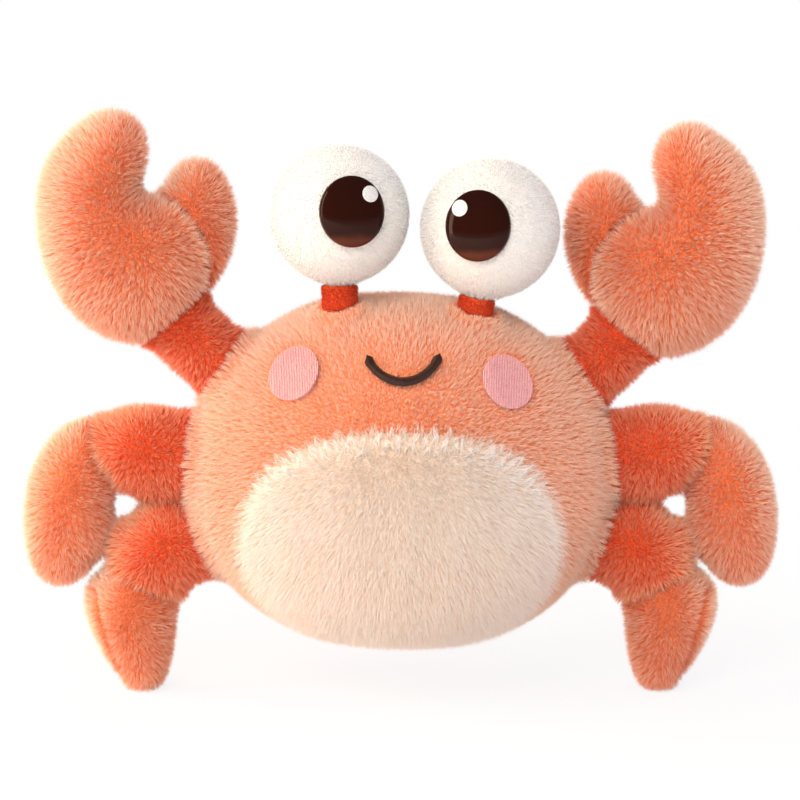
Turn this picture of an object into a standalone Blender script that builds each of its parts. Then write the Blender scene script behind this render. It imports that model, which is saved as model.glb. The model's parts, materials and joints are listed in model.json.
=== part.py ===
"""Plush crab on two standing legs: stuffed body, claws, legs and stalked eyes. Metres, +Z up, front -Y."""
import math

import bmesh
import bpy
import numpy as np
from mathutils import Matrix, Vector
from mathutils.bvhtree import BVHTree

MM = 0.001

# Clearances
SEAM_GAP = 0.3 * MM         # between two pockets sewn against each other
INLAY_GAP = 0.3 * MM        # around and under an inset piece
EYE_CLEARANCE = 0.2 * MM    # around a safety eye and its washer

# Body
BODY_WIDTH = 171.5 * MM
BODY_DEPTH = 146 * MM
BODY_HEIGHT = 136.5 * MM
GROUND_CLEARANCE = 23.1 * MM
BODY_LEAN = math.radians(1.5)
BODY_SIDES = 6

# Belly panel, an egg-shaped inset that wraps from the front to the underside
BELLY_WIDTH = 124.5 * MM
BELLY_LENGTH = 104.5 * MM
BELLY_SQUARENESS = 2.15
BELLY_TILT = math.radians(30)
BELLY_RISE = 1.0 * MM
BELLY_THICKNESS = 4.0 * MM
BELLY_SEGMENTS = 24

# Face embroidery
SMILE_RADIUS = 15.1 * MM
SMILE_HALF_ANGLE = math.radians(64)
SMILE_BAND = 2.9 * MM
SMILE_DROP = 26.8 * MM      # body top to the lowest point of the band's middle line
SMILE_X = 0.9 * MM
SMILE_STEPS = 8
CHEEK_LONG = 21.6 * MM
CHEEK_SHORT = 16.6 * MM
CHEEK_SLANT = math.radians(45)
CHEEK_X = 41 * MM
CHEEK_DROP = 25.3 * MM
RIGHT_CHEEK_LOWER = 3.0 * MM
CHEEK_SEGMENTS = 16
STITCH_RISE = 0.4 * MM
STITCH_THICKNESS = 1.4 * MM

# Eyes
EYE_DIAMETER = 55 * MM
EYE_GAP = 3.7 * MM          # between the two balls
EYE_OFF_CENTRE = 5.5 * MM
EYE_FORWARD = 19 * MM
LEFT_EYE_LIFT = 8.5 * MM    # body skin to the underside of the ball
RIGHT_EYE_LIFT = 5.4 * MM
LEFT_EYE_LEAN = math.radians(0)
RIGHT_EYE_LEAN = math.radians(10)
EYE_SEGMENTS = 18
EYE_RINGS = 11
STALK_DIAMETER = 14.6 * MM
STALK_SINK = 5 * MM
STALK_SIDES = 12

# Safety eye, one moulding of an oval dome and a shank, locked by a washer
PUPIL_WIDTH = 25.2 * MM
PUPIL_HEIGHT = 27.4 * MM
PUPIL_RIM = 1.6 * MM
PUPIL_DOME = 4.2 * MM
PUPIL_INWARD = math.radians(12.5)
PUPIL_UPWARD = math.radians(6.5)
PUPIL_SEGMENTS = 16
PUPIL_DOME_STEPS = 4
SHANK_DIAMETER = 5 * MM
SHANK_LENGTH = 12 * MM
SHANK_SIDES = 8
WASHER_DIAMETER = 18 * MM
WASHER_THICKNESS = 1.6 * MM
WASHER_DEPTH = 2.0 * MM     # cloth pinched between the dome's back and the washer
GLINT_DIAMETER = 6.4 * MM
GLINT_OUT = 6.7 * MM
GLINT_UP = 6.5 * MM
GLINT_RISE = 0.15 * MM
GLINT_THICKNESS = 0.6 * MM
GLINT_SEGMENTS = 12

# Arms
LEFT_SHOULDER_ANGLE = math.radians(29.5)
RIGHT_SHOULDER_ANGLE = math.radians(25.7)
ARM_ROOT_WIDTH = 28 * MM
ARM_WRIST_WIDTH = 39 * MM
ARM_DEPTH = 30 * MM
ARM_SINK = 15 * MM

# Claws
CLAW_CLEARANCE = 4 * MM     # outer eye ball to thumb, seen from the front
THUMB_REACH = 25.5 * MM     # wrist to the inner edge of the thumb
WRIST_RISE = 60.4 * MM      # body centre to wrist
RIGHT_CLAW_LOWER = 5.5 * MM
PALM_LENGTH = 92 * MM
PALM_WIDTH = 64 * MM
PALM_DEPTH = 40 * MM
PALM_FORWARD = 6 * MM
THUMB_LENGTH = 56 * MM
THUMB_WIDTH = 31.5 * MM
THUMB_DEPTH = 28 * MM
THUMB_BACK = 2 * MM
THUMB_INSET = 11.2 * MM

# Legs
UPPER_HIP_ANGLE = math.radians(2.1)
LOWER_HIP_ANGLE = math.radians(-20.8)
UPPER_THIGH_LENGTH = 35 * MM
LOWER_THIGH_LENGTH = 26.5 * MM
THIGH_WIDTH = 40 * MM
THIGH_DEPTH = 36 * MM
UPPER_SHIN_LENGTH = 65.5 * MM
SHIN_WIDTH = 38 * MM
SHIN_DEPTH = 33 * MM
SOLE_DEPTH = 30 * MM        # last ring of a standing shin, front to back, before smoothing rounds it
LEG_FORWARD = 2 * MM
FLOOR_MARGIN = 20 * MM

# Smoothed forms, root to tip: (out, up, half width) in shares of length, length and half width
PALM_FORM = (
    (-0.08, 0.01, 0.68),
    (0.13, 0.20, 0.97),
    (0.30, 0.37, 0.84),
    (0.33, 0.59, 0.66),
    (0.235, 0.76, 0.46),
    (0.18, 0.88, 0.24),
)
THUMB_FORM = (
    (-0.02, -0.06, 0.50),
    (0.00, 0.40, 1.02),
    (0.02, 0.75, 0.84),
    (0.07, 0.93, 0.36),
)
UPPER_THIGH_FORM = (
    (-0.42, -0.02, 0.80),
    (0.30, 0.06, 0.97),
    (0.83, 0.07, 0.88),
    (0.965, -0.01, 0.44),
)
LOWER_THIGH_FORM = (
    (-0.40, 0.12, 0.80),
    (0.62, -0.15, 1.00),
    (1.42, -0.46, 0.68),
)
UPPER_SHIN_FORM = (
    (0.05, 0.26, 0.45),
    (0.18, -0.08, 0.86),
    (0.235, -0.455, 0.90),
    (0.32, -0.81, 0.48),
)
# Standing shin: out in shares of its width, height in shares of the knee's height over the floor
LOWER_SHIN_FORM = (
    (-0.16, 1.06, 0.62),
    (-0.23, 0.75, 1.00),
    (-0.33, 0.30, 0.73),
    (-0.41, -0.06, 0.34),
)
# Body rings from the underside to the top: (height, girth) in shares of half height and half width
BODY_FORM = (
    (-1.00, 0.34),
    (-0.82, 0.72),
    (-0.35, 0.975),
    (0.25, 0.97),
    (0.78, 0.68),
    (1.00, 0.28),
)

FOUR_SIDED_FILL = 2 / 3     # share of a four-sided cage ring kept by smoothing
PLUMPNESS = 0.6             # a stuffed pocket thins less than it narrows: thickness goes by this power
SMOOTHING_LEVELS = 2


def new_collection(name):
    collection = bpy.data.collections.new(name)
    bpy.context.scene.collection.children.link(collection)
    return collection


def new_material(name, colour, roughness):
    material = bpy.data.materials.new(name)
    material.use_nodes = True
    shader = material.node_tree.nodes["Principled BSDF"]
    shader.inputs["Base Color"].default_value = (*colour, 1.0)
    shader.inputs["Roughness"].default_value = roughness
    shader.inputs["Metallic"].default_value = 0.0
    return material


def add_piece(name, bm, material):
    """Turn a bmesh into a named piece of the crab."""
    obj = add_object(name, bm, crab)
    obj.data.materials.append(material)
    return obj


def add_cutter(name, bm):
    """Turn a bmesh into a hidden wire object that only cuts."""
    obj = add_object(name, bm, cutters)
    obj.hide_render = True
    obj.display_type = "WIRE"
    return obj


def add_object(name, bm, collection):
    bmesh.ops.recalc_face_normals(bm, faces=bm.faces)
    mesh = bpy.data.meshes.new(name)
    bm.to_mesh(mesh)
    bm.free()
    obj = bpy.data.objects.new(name, mesh)
    collection.objects.link(obj)
    return obj


def smooth(obj):
    modifier = obj.modifiers.new("smooth", "SUBSURF")
    modifier.levels = SMOOTHING_LEVELS
    modifier.render_levels = SMOOTHING_LEVELS


def boolean(target, tool, operation="DIFFERENCE"):
    modifier = target.modifiers.new(f"{operation.lower()} {tool.name}", "BOOLEAN")
    modifier.operation = operation
    modifier.solver = "EXACT"
    modifier.object = tool


def offset_copy(form, name, distance, collection):
    """The smoothed form of a piece again, grown or shrunk along its normals, before any cut."""
    obj = bpy.data.objects.new(name, form.data.copy())
    collection.objects.link(obj)
    if any(modifier.type == "SUBSURF" for modifier in form.modifiers):
        smooth(obj)
    offset = obj.modifiers.new("offset", "DISPLACE")
    offset.mid_level = 0.0
    offset.strength = distance
    return obj


def seam_cutter(form):
    cutter = offset_copy(form, f"{form.name}_seam", SEAM_GAP, cutters)
    cutter.hide_render = True
    cutter.display_type = "WIRE"
    return cutter


def ring_cage(rings):
    """Closed cage from rings of points, first to last, with a face over each end."""
    bm = bmesh.new()
    loops = [[bm.verts.new(point) for point in ring] for ring in rings]
    sides = len(loops[0])
    for low, high in zip(loops, loops[1:]):
        for i in range(sides):
            j = (i + 1) % sides
            bm.faces.new((low[i], low[j], high[j], high[i]))
    bm.faces.new(list(reversed(loops[0])))
    bm.faces.new(loops[-1])
    return bm


def cage_rows(rows):
    """Rows of a cage whose smoothed surface passes through the inner rows; the end rows stay."""
    weights = np.eye(len(rows))
    for i in range(1, len(rows) - 1):
        weights[i, i - 1:i + 2] = (1 / 6, 4 / 6, 1 / 6)
    return np.linalg.solve(weights, np.array(rows))


def pocket(name, rows, middle_y, material):
    """Stuffed pocket lofted through rows of (x, z, half width, half depth) along its length."""
    cage = cage_rows(rows)
    rings = []
    for i, (x, z, half_width, half_depth) in enumerate(cage):
        before, after = cage[max(i - 1, 0)], cage[min(i + 1, len(cage) - 1)]
        along = Vector((after[0] - before[0], 0.0, after[1] - before[1])).normalized()
        across = Vector((along.z, 0.0, -along.x)) * half_width / FOUR_SIDED_FILL
        depth = Vector((0.0, half_depth / FOUR_SIDED_FILL, 0.0))
        middle = Vector((x, middle_y, z))
        rings.append([middle + across, middle + depth, middle - across, middle - depth])
    obj = add_piece(name, ring_cage(rings), material)
    smooth(obj)
    return obj


def placed_rows(form, root, side, length, width, depth):
    """Shares of a form turned into rows that start at a root point (x, z)."""
    rows = []
    for out, up, share in form:
        x = root[0] + side * out * length
        z = root[1] + up * length
        rows.append((x, z, share * width / 2, share ** PLUMPNESS * depth / 2))
    return rows


def body_cage():
    """Round cage through the body's rings, sized so that its smoothed form fills the body's box."""
    rings = []
    for height, girth in cage_rows(BODY_FORM):
        ring = []
        for i in range(BODY_SIDES):
            angle = 2 * math.pi * (i + 0.5) / BODY_SIDES
            ring.append(Vector((girth * math.cos(angle), girth * math.sin(angle), height)))
        rings.append(ring)
    obj = add_piece("body", ring_cage(rings), orange_plush)
    smooth(obj)
    corners = evaluated_points(obj)
    low = corners.min(axis=0)
    high = corners.max(axis=0)
    size = (BODY_WIDTH, BODY_DEPTH, BODY_HEIGHT)
    for vertex in obj.data.vertices:
        for axis in range(3):
            share = (vertex.co[axis] - low[axis]) / (high[axis] - low[axis]) - 0.5
            vertex.co[axis] = share * size[axis]
    centre = Matrix.Translation((0.0, 0.0, GROUND_CLEARANCE + BODY_HEIGHT / 2))
    obj.data.transform(centre @ Matrix.Rotation(BODY_LEAN, 4, "Y"))
    return obj


def evaluated_points(obj):
    graph = bpy.context.evaluated_depsgraph_get()
    mesh = obj.evaluated_get(graph).to_mesh()
    points = np.array([vertex.co[:] for vertex in mesh.vertices])
    obj.evaluated_get(graph).to_mesh_clear()
    return points


def surface_tree(obj):
    return BVHTree.FromObject(obj, bpy.context.evaluated_depsgraph_get())


def body_edge(side, angle):
    """Point (x, z) of the body's side seen from the front, at an angle over the horizontal."""
    centre = Vector((0.0, 0.0, GROUND_CLEARANCE + BODY_HEIGHT / 2))
    hit = body_tree.ray_cast(centre, Vector((side * math.cos(angle), 0.0, math.sin(angle))))[0]
    return Vector((hit.x, hit.z))


def body_top(x, y):
    above = Vector((x, y, GROUND_CLEARANCE + 2 * BODY_HEIGHT))
    return body_tree.ray_cast(above, Vector((0.0, 0.0, -1.0)))[0]


def circle(radius, points):
    """Outline of a circle as (across, up) points."""
    turns = [2 * math.pi * i / points for i in range(points)]
    return [(radius * math.cos(turn), radius * math.sin(turn)) for turn in turns]


def oval(width, height, points, squareness=2.0, slant=0.0):
    """Outline of a rounded oval as (across, up) points."""
    outline = []
    for c, s in circle(1.0, points):
        across = width / 2 * math.copysign(abs(c) ** (2 / squareness), c)
        up = height / 2 * math.copysign(abs(s) ** (2 / squareness), s)
        outline.append((
            across * math.cos(slant) - up * math.sin(slant),
            across * math.sin(slant) + up * math.cos(slant),
        ))
    return outline


def arc_band(radius, half_angle, band):
    """Outline of a round-ended band bent along a lower arc, as (across, up) points."""
    outline = []
    for turn, reach in ((1, radius + band / 2), (-1, radius - band / 2)):
        for i in range(SMILE_STEPS + 1):
            angle = turn * half_angle * (2 * i / SMILE_STEPS - 1)
            outline.append((reach * math.sin(angle), -reach * math.cos(angle)))
        end = turn * half_angle
        for i in (1, 2):
            swing = math.pi * i / 3
            tip = radius + turn * band / 2 * math.cos(swing)
            bulge = band / 2 * math.sin(swing)
            outline.append((
                tip * math.sin(end) + turn * bulge * math.cos(end),
                -tip * math.cos(end) + turn * bulge * math.sin(end),
            ))
    return outline


def prism(name, outline, frame, near, far):
    """Cutter with an outline drawn in the frame's XZ plane and drawn out along its Y."""
    rings = []
    for y in (near, far):
        rings.append([frame @ Vector((across, y, up)) for across, up in outline])
    return add_cutter(name, ring_cage(rings))


def inlay(name, host, tools, rise, thickness, material):
    """Thin piece that follows its host's skin, and the recess it lies in."""
    outline_tool, recess_tool = tools
    piece = offset_copy(host, name, rise, crab)
    piece.data.materials.clear()
    piece.data.materials.append(material)
    back = offset_copy(host, f"{name}_back", rise - thickness, cutters)
    floor = offset_copy(host, f"{name}_floor", rise - thickness - INLAY_GAP, cutters)
    for cutter in (back, floor):
        cutter.hide_render = True
        cutter.display_type = "WIRE"
    boolean(piece, outline_tool, "INTERSECT")
    boolean(piece, back)
    boolean(recess_tool, floor)
    boolean(host, recess_tool)
    return piece


def build_belly(body):
    frame = Matrix.Translation((0.0, 0.0, GROUND_CLEARANCE + BODY_HEIGHT / 2))
    frame @= Matrix.Rotation(BELLY_TILT, 4, "X")
    reach = BODY_DEPTH + BODY_HEIGHT
    tools = []
    for suffix, grow in (("outline", 0.0), ("recess", INLAY_GAP)):
        outline = oval(
            BELLY_WIDTH + 2 * grow, BELLY_LENGTH + 2 * grow, BELLY_SEGMENTS, BELLY_SQUARENESS
        )
        tools.append(prism(f"belly_{suffix}", outline, frame, -reach, 0.0))
    return inlay("belly_panel", body, tools, BELLY_RISE, BELLY_THICKNESS, cream_plush)


def build_face(body):
    top = GROUND_CLEARANCE + BODY_HEIGHT
    frame = Matrix.Translation((SMILE_X, 0.0, top - SMILE_DROP + SMILE_RADIUS))
    tools = []
    for suffix, grow in (("outline", 0.0), ("recess", INLAY_GAP)):
        outline = arc_band(SMILE_RADIUS, SMILE_HALF_ANGLE, SMILE_BAND + 2 * grow)
        tools.append(prism(f"smile_{suffix}", outline, frame, -BODY_DEPTH, 0.0))
    inlay("smile", body, tools, STITCH_RISE, STITCH_THICKNESS, brown_thread)
    for word, side, lower in (("left", -1, 0.0), ("right", 1, RIGHT_CHEEK_LOWER)):
        frame = Matrix.Translation((side * CHEEK_X, 0.0, top - CHEEK_DROP - lower))
        tools = []
        for suffix, grow in (("outline", 0.0), ("recess", INLAY_GAP)):
            outline = oval(
                CHEEK_LONG + 2 * grow, CHEEK_SHORT + 2 * grow, CHEEK_SEGMENTS, slant=-side * CHEEK_SLANT
            )
            tools.append(prism(f"cheek_{word}_{suffix}", outline, frame, -BODY_DEPTH, 0.0))
        inlay(f"cheek_{word}", body, tools, STITCH_RISE, STITCH_THICKNESS, pink_thread)


def pupil_frame(side, centre):
    """Frame at the ball's centre whose -Y looks where the pupil looks."""
    look = Matrix.Rotation(side * PUPIL_INWARD, 4, "Z") @ Matrix.Rotation(-PUPIL_UPWARD, 4, "X")
    return Matrix.Translation(centre) @ look


def pupil_head(name, frame, seat):
    """Oval dome: a short upright rim, then a rounded cap."""
    rings = []
    heights = [(0.0, 1.0), (PUPIL_RIM, 1.0)]
    for i in range(1, PUPIL_DOME_STEPS):
        rise = math.pi / 2 * i / PUPIL_DOME_STEPS
        heights.append((PUPIL_RIM + PUPIL_DOME * math.sin(rise), math.cos(rise)))
    for height, share in heights:
        outline = oval(share * PUPIL_WIDTH, share * PUPIL_HEIGHT, PUPIL_SEGMENTS)
        rings.append([frame @ Vector((across, -seat - height, up)) for across, up in outline])
    bm = ring_cage(rings)
    bm.faces.ensure_lookup_table()
    cap = bmesh.ops.poke(bm, faces=[bm.faces[-1]])["verts"][0]
    cap.co = frame @ Vector((0.0, -seat - PUPIL_RIM - PUPIL_DOME, 0.0))
    return add_piece(name, bm, brown_plastic)


def build_ball(word, centre):
    bm = bmesh.new()
    bmesh.ops.create_uvsphere(
        bm, u_segments=EYE_SEGMENTS, v_segments=EYE_RINGS, radius=EYE_DIAMETER / 2
    )
    bmesh.ops.translate(bm, vec=centre, verts=bm.verts)
    return add_piece(f"eyeball_{word}", bm, white_plush)


def build_stalk(word, base, lean, lift, ball):
    """Short tube from the body up into the ball, cut where it meets either."""
    upright = Matrix.Rotation(lean, 4, "Y") @ Matrix.Rotation(math.pi / 2, 4, "X")
    frame = Matrix.Translation(base) @ upright
    rings = []
    for height in (-STALK_SINK, lift + STALK_SINK):
        outline = circle(STALK_DIAMETER / 2, STALK_SIDES)
        rings.append([frame @ Vector((across, height, up)) for across, up in outline])
    stalk = add_piece(f"eye_stalk_{word}", ring_cage(rings), red_velour)
    boolean(stalk, body_seam)
    boolean(stalk, seam_cutter(ball))


def seat_safety_eye(word, ball, frame, seat):
    """Oval pocket, shank bore and washer pocket, open to each other, in the ball."""
    pocket_outline = oval(
        PUPIL_WIDTH + 2 * EYE_CLEARANCE, PUPIL_HEIGHT + 2 * EYE_CLEARANCE, PUPIL_SEGMENTS
    )
    bore = circle(SHANK_DIAMETER / 2 + EYE_CLEARANCE, SHANK_SIDES)
    washer_pocket = circle(WASHER_DIAMETER / 2 + EYE_CLEARANCE, PUPIL_SEGMENTS)
    bottom = -seat + EYE_CLEARANCE
    washer_back = -seat + WASHER_DEPTH + WASHER_THICKNESS + EYE_CLEARANCE
    washer_front = -seat + WASHER_DEPTH - EYE_CLEARANCE
    boolean(ball, prism(f"pupil_pocket_{word}", pocket_outline, frame, bottom, -EYE_DIAMETER))
    boolean(ball, prism(f"shank_bore_{word}", bore, frame, bottom + SHANK_LENGTH, bottom - PUPIL_RIM / 2))
    boolean(ball, prism(f"washer_pocket_{word}", washer_pocket, frame, washer_back, washer_front))


def build_safety_eye(word, side, frame, seat):
    pupil = pupil_head(f"pupil_{word}", frame, seat)
    glint_frame = frame @ Matrix.Translation((side * GLINT_OUT, 0.0, GLINT_UP))
    tools = []
    for suffix, grow in (("outline", 0.0), ("recess", INLAY_GAP)):
        outline = circle(GLINT_DIAMETER / 2 + grow, GLINT_SEGMENTS)
        name = f"glint_{word}_{suffix}"
        tools.append(prism(name, outline, glint_frame, -seat - PUPIL_RIM / 2, -EYE_DIAMETER))
    inlay(f"glint_{word}", pupil, tools, GLINT_RISE, GLINT_THICKNESS, white_paint)
    shank = circle(SHANK_DIAMETER / 2, SHANK_SIDES)
    shank_tool = prism(f"shank_{word}", shank, frame, -seat + SHANK_LENGTH, -seat - PUPIL_RIM / 2)
    boolean(pupil, shank_tool, "UNION")

    front = -seat + WASHER_DEPTH
    back = front + WASHER_THICKNESS
    hole = SHANK_DIAMETER / 2 + EYE_CLEARANCE
    edge = WASHER_DIAMETER / 2
    rings = []
    for y, reach in ((front, hole), (front, edge), (back, edge), (back, hole)):
        outline = circle(reach, PUPIL_SEGMENTS)
        rings.append([frame @ Vector((across, y, up)) for across, up in outline])
    add_piece(f"eye_washer_{word}", closed_ring(rings), brown_plastic)


def build_eye(word, side, base_x, lift, lean):
    """Ball on a leaning stalk over a point of the body, with its safety eye; side 1 looks to the right."""
    radius = EYE_DIAMETER / 2
    base = body_top(base_x, -EYE_FORWARD)
    axis = Vector((math.sin(lean), 0.0, math.cos(lean)))
    centre = base + axis * (lift + radius)
    ball = build_ball(word, centre)
    build_stalk(word, base, lean, lift, ball)
    frame = pupil_frame(side, centre)
    seat = math.sqrt(radius ** 2 - (PUPIL_HEIGHT / 2) ** 2) - EYE_CLEARANCE
    seat_safety_eye(word, ball, frame, seat)
    build_safety_eye(word, side, frame, seat)


def closed_ring(rings):
    """Ring with a hole: like a cage, but the last loop joins the first."""
    bm = bmesh.new()
    loops = [[bm.verts.new(point) for point in ring] for ring in rings]
    sides = len(loops[0])
    for low, high in zip(loops, loops[1:] + loops[:1]):
        for i in range(sides):
            j = (i + 1) % sides
            bm.faces.new((low[i], low[j], high[j], high[i]))
    return bm


def build_eyes():
    reach = (EYE_DIAMETER + EYE_GAP) / 2
    right_shift = math.sin(RIGHT_EYE_LEAN) * (RIGHT_EYE_LIFT + EYE_DIAMETER / 2)
    left_shift = math.sin(LEFT_EYE_LEAN) * (LEFT_EYE_LIFT + EYE_DIAMETER / 2)
    build_eye("left", 1, EYE_OFF_CENTRE - reach - left_shift, LEFT_EYE_LIFT, LEFT_EYE_LEAN)
    build_eye("right", -1, EYE_OFF_CENTRE + reach - right_shift, RIGHT_EYE_LIFT, RIGHT_EYE_LEAN)


def build_arm(word, side, shoulder_angle, lower):
    inner_edge = EYE_OFF_CENTRE + EYE_GAP / 2 + EYE_DIAMETER + CLAW_CLEARANCE
    body_centre = GROUND_CLEARANCE + BODY_HEIGHT / 2
    wrist = Vector((side * (inner_edge + THUMB_REACH), body_centre + WRIST_RISE - lower))
    shoulder = body_edge(side, shoulder_angle)
    along = (wrist - shoulder).normalized()

    palm_rows = placed_rows(PALM_FORM, wrist, side, PALM_LENGTH, PALM_WIDTH, PALM_DEPTH)
    palm = pocket(f"palm_{word}", palm_rows, -PALM_FORWARD, orange_plush)
    palm_seam = seam_cutter(palm)

    stations = (
        (shoulder - along * ARM_SINK, ARM_ROOT_WIDTH),
        (shoulder.lerp(wrist, 0.5), (ARM_ROOT_WIDTH + ARM_WRIST_WIDTH) / 2),
        (wrist + along * ARM_SINK, 0.8 * ARM_WRIST_WIDTH),
    )
    rows = [(point.x, point.y, width / 2, ARM_DEPTH / 2) for point, width in stations]
    arm = pocket(f"arm_{word}", rows, 0.0, red_plush)
    boolean(arm, palm_seam)
    boolean(arm, body_seam)

    thumb_root = wrist + Vector((-side * THUMB_INSET, THUMB_INSET))
    thumb_rows = placed_rows(THUMB_FORM, thumb_root, side, THUMB_LENGTH, THUMB_WIDTH, THUMB_DEPTH)
    thumb = pocket(f"thumb_{word}", thumb_rows, THUMB_BACK, orange_plush)
    boolean(thumb, palm_seam)
    boolean(thumb, seam_cutter(arm))


def build_legs(word, side, floor):
    upper_hip = body_edge(side, UPPER_HIP_ANGLE)
    rows = placed_rows(UPPER_THIGH_FORM, upper_hip, side, UPPER_THIGH_LENGTH, THIGH_WIDTH, THIGH_DEPTH)
    upper_knee = rows[-1]
    upper_thigh = pocket(f"thigh_upper_{word}", rows, -LEG_FORWARD, red_plush)
    boolean(upper_thigh, body_seam)

    lower_hip = body_edge(side, LOWER_HIP_ANGLE)
    rows = placed_rows(LOWER_THIGH_FORM, lower_hip, side, LOWER_THIGH_LENGTH, THIGH_WIDTH, THIGH_DEPTH)
    lower_knee = rows[-1]
    lower_thigh = pocket(f"thigh_lower_{word}", rows, -LEG_FORWARD, red_plush)
    boolean(lower_thigh, body_seam)
    boolean(lower_thigh, seam_cutter(upper_thigh))

    rows = placed_rows(UPPER_SHIN_FORM, upper_knee, side, UPPER_SHIN_LENGTH, SHIN_WIDTH, SHIN_DEPTH)
    upper_shin = pocket(f"shin_upper_{word}", rows, -LEG_FORWARD, orange_plush)
    boolean(upper_shin, seam_cutter(upper_thigh))
    boolean(upper_shin, seam_cutter(lower_thigh))

    rows = []
    for out, up, share in LOWER_SHIN_FORM:
        x = lower_knee[0] + side * out * SHIN_WIDTH
        half_depth = share ** PLUMPNESS * SHIN_DEPTH / 2
        rows.append((x, up * lower_knee[1], share * SHIN_WIDTH / 2, half_depth))
    rows[-1] = (*rows[-1][:3], SOLE_DEPTH / 2)
    lower_shin = pocket(f"shin_lower_{word}", rows, -LEG_FORWARD, orange_plush)
    boolean(lower_shin, seam_cutter(lower_thigh))
    boolean(lower_shin, seam_cutter(upper_shin))
    boolean(lower_shin, floor)


def floor_block():
    bm = bmesh.new()
    bmesh.ops.create_cube(bm, size=1.0)
    reach = BODY_WIDTH + 2 * (UPPER_THIGH_LENGTH + UPPER_SHIN_LENGTH)
    bmesh.ops.scale(bm, vec=(reach, BODY_DEPTH, FLOOR_MARGIN), verts=bm.verts)
    bmesh.ops.translate(bm, vec=(0.0, 0.0, -FLOOR_MARGIN / 2), verts=bm.verts)
    return add_cutter("floor", bm)


for old in list(bpy.data.objects):
    bpy.data.objects.remove(old, do_unlink=True)

crab = new_collection("plush_crab")
cutters = new_collection("cutters")

orange_plush = new_material("orange_plush", (0.90, 0.25, 0.08), 0.9)
red_plush = new_material("red_plush", (0.75, 0.10, 0.03), 0.9)
red_velour = new_material("red_velour", (0.65, 0.06, 0.03), 0.85)
cream_plush = new_material("cream_plush", (0.85, 0.70, 0.56), 0.9)
white_plush = new_material("white_plush", (0.88, 0.87, 0.85), 0.85)
brown_plastic = new_material("brown_plastic", (0.012, 0.004, 0.003), 0.12)
white_paint = new_material("white_paint", (0.9, 0.9, 0.9), 0.4)
brown_thread = new_material("brown_thread", (0.03, 0.008, 0.005), 0.6)
pink_thread = new_material("pink_thread", (0.80, 0.35, 0.38), 0.6)

crab_body = body_cage()
body_tree = surface_tree(crab_body)
body_seam = seam_cutter(crab_body)
build_belly(crab_body)
build_face(crab_body)
build_eyes()
build_arm("left", -1, LEFT_SHOULDER_ANGLE, 0.0)
build_arm("right", 1, RIGHT_SHOULDER_ANGLE, RIGHT_CLAW_LOWER)
ground = floor_block()
build_legs("left", -1, ground)
build_legs("right", 1, ground)
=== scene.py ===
# Plush crab: soft skins blown up from the CAD pockets, a real pile of hairs on each,
# stitched smile and cheeks, glossy safety eyes, and a plain studio round it.
import json
import math
from functools import partial

import bmesh
import bpy
import numpy as np
from mathutils import Matrix, Vector
from mathutils.bvhtree import BVHTree

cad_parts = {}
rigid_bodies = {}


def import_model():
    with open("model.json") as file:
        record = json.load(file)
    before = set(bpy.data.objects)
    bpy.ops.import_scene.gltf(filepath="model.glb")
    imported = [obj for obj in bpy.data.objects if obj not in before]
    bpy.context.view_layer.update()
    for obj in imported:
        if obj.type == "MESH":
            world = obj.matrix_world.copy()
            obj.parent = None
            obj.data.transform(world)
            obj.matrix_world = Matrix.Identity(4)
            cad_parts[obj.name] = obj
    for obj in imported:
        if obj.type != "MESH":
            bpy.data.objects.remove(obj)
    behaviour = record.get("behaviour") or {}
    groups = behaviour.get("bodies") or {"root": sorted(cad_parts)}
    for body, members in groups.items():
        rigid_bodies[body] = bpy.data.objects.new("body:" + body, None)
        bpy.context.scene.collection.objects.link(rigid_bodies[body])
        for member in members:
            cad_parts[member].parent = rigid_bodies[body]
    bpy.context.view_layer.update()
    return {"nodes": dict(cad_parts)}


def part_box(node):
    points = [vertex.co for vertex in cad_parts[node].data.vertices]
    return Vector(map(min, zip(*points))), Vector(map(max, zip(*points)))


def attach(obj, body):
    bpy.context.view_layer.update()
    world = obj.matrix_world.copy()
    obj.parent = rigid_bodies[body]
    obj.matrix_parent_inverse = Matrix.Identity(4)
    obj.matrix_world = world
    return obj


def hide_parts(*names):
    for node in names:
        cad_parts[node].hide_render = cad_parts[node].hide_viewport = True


for leftover in list(bpy.data.objects):
    bpy.data.objects.remove(leftover, do_unlink=True)
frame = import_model()
mm = 0.001
nodes = frame["nodes"]

# nodes and colours


def linear(hexColour):
    # sRGB hex to a linear colour with full alpha
    shares = [int(hexColour[i:i + 2], 16) / 255 for i in (1, 3, 5)]
    return (*[c / 12.92 if c <= 0.04045 else ((c + 0.055) / 1.055) ** 2.4 for c in shares], 1.0)


def fillInputs(tree, item, values):
    # each input of a node, linked to a socket or set to a value
    for key, value in values.items():
        if isinstance(value, bpy.types.NodeSocket):
            tree.links.new(value, item.inputs[key])
        else:
            item.inputs[key].default_value = value


def addNode(tree, kind, inputs=None, out=None, stops=(), **settings):
    # one node with its settings, its inputs and the colour stops of a ramp
    item = tree.nodes.new(kind)
    for key, value in settings.items():
        setattr(item, key, value)
    fillInputs(tree, item, inputs or {})
    for i, (place, colour) in enumerate(stops):
        marks = item.color_ramp.elements
        mark = marks[i] if i < 2 else marks.new(place)
        mark.position = place
        mark.color = linear(colour)
    return item if out is None else item.outputs[out]


# materials


def newMaterial(name):
    material = bpy.data.materials.new(name)
    material.use_nodes = True
    return material, partial(addNode, material.node_tree)


def finishMaterial(material, values):
    tree = material.node_tree
    fillInputs(tree, tree.nodes["Principled BSDF"], values)
    return material


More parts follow.
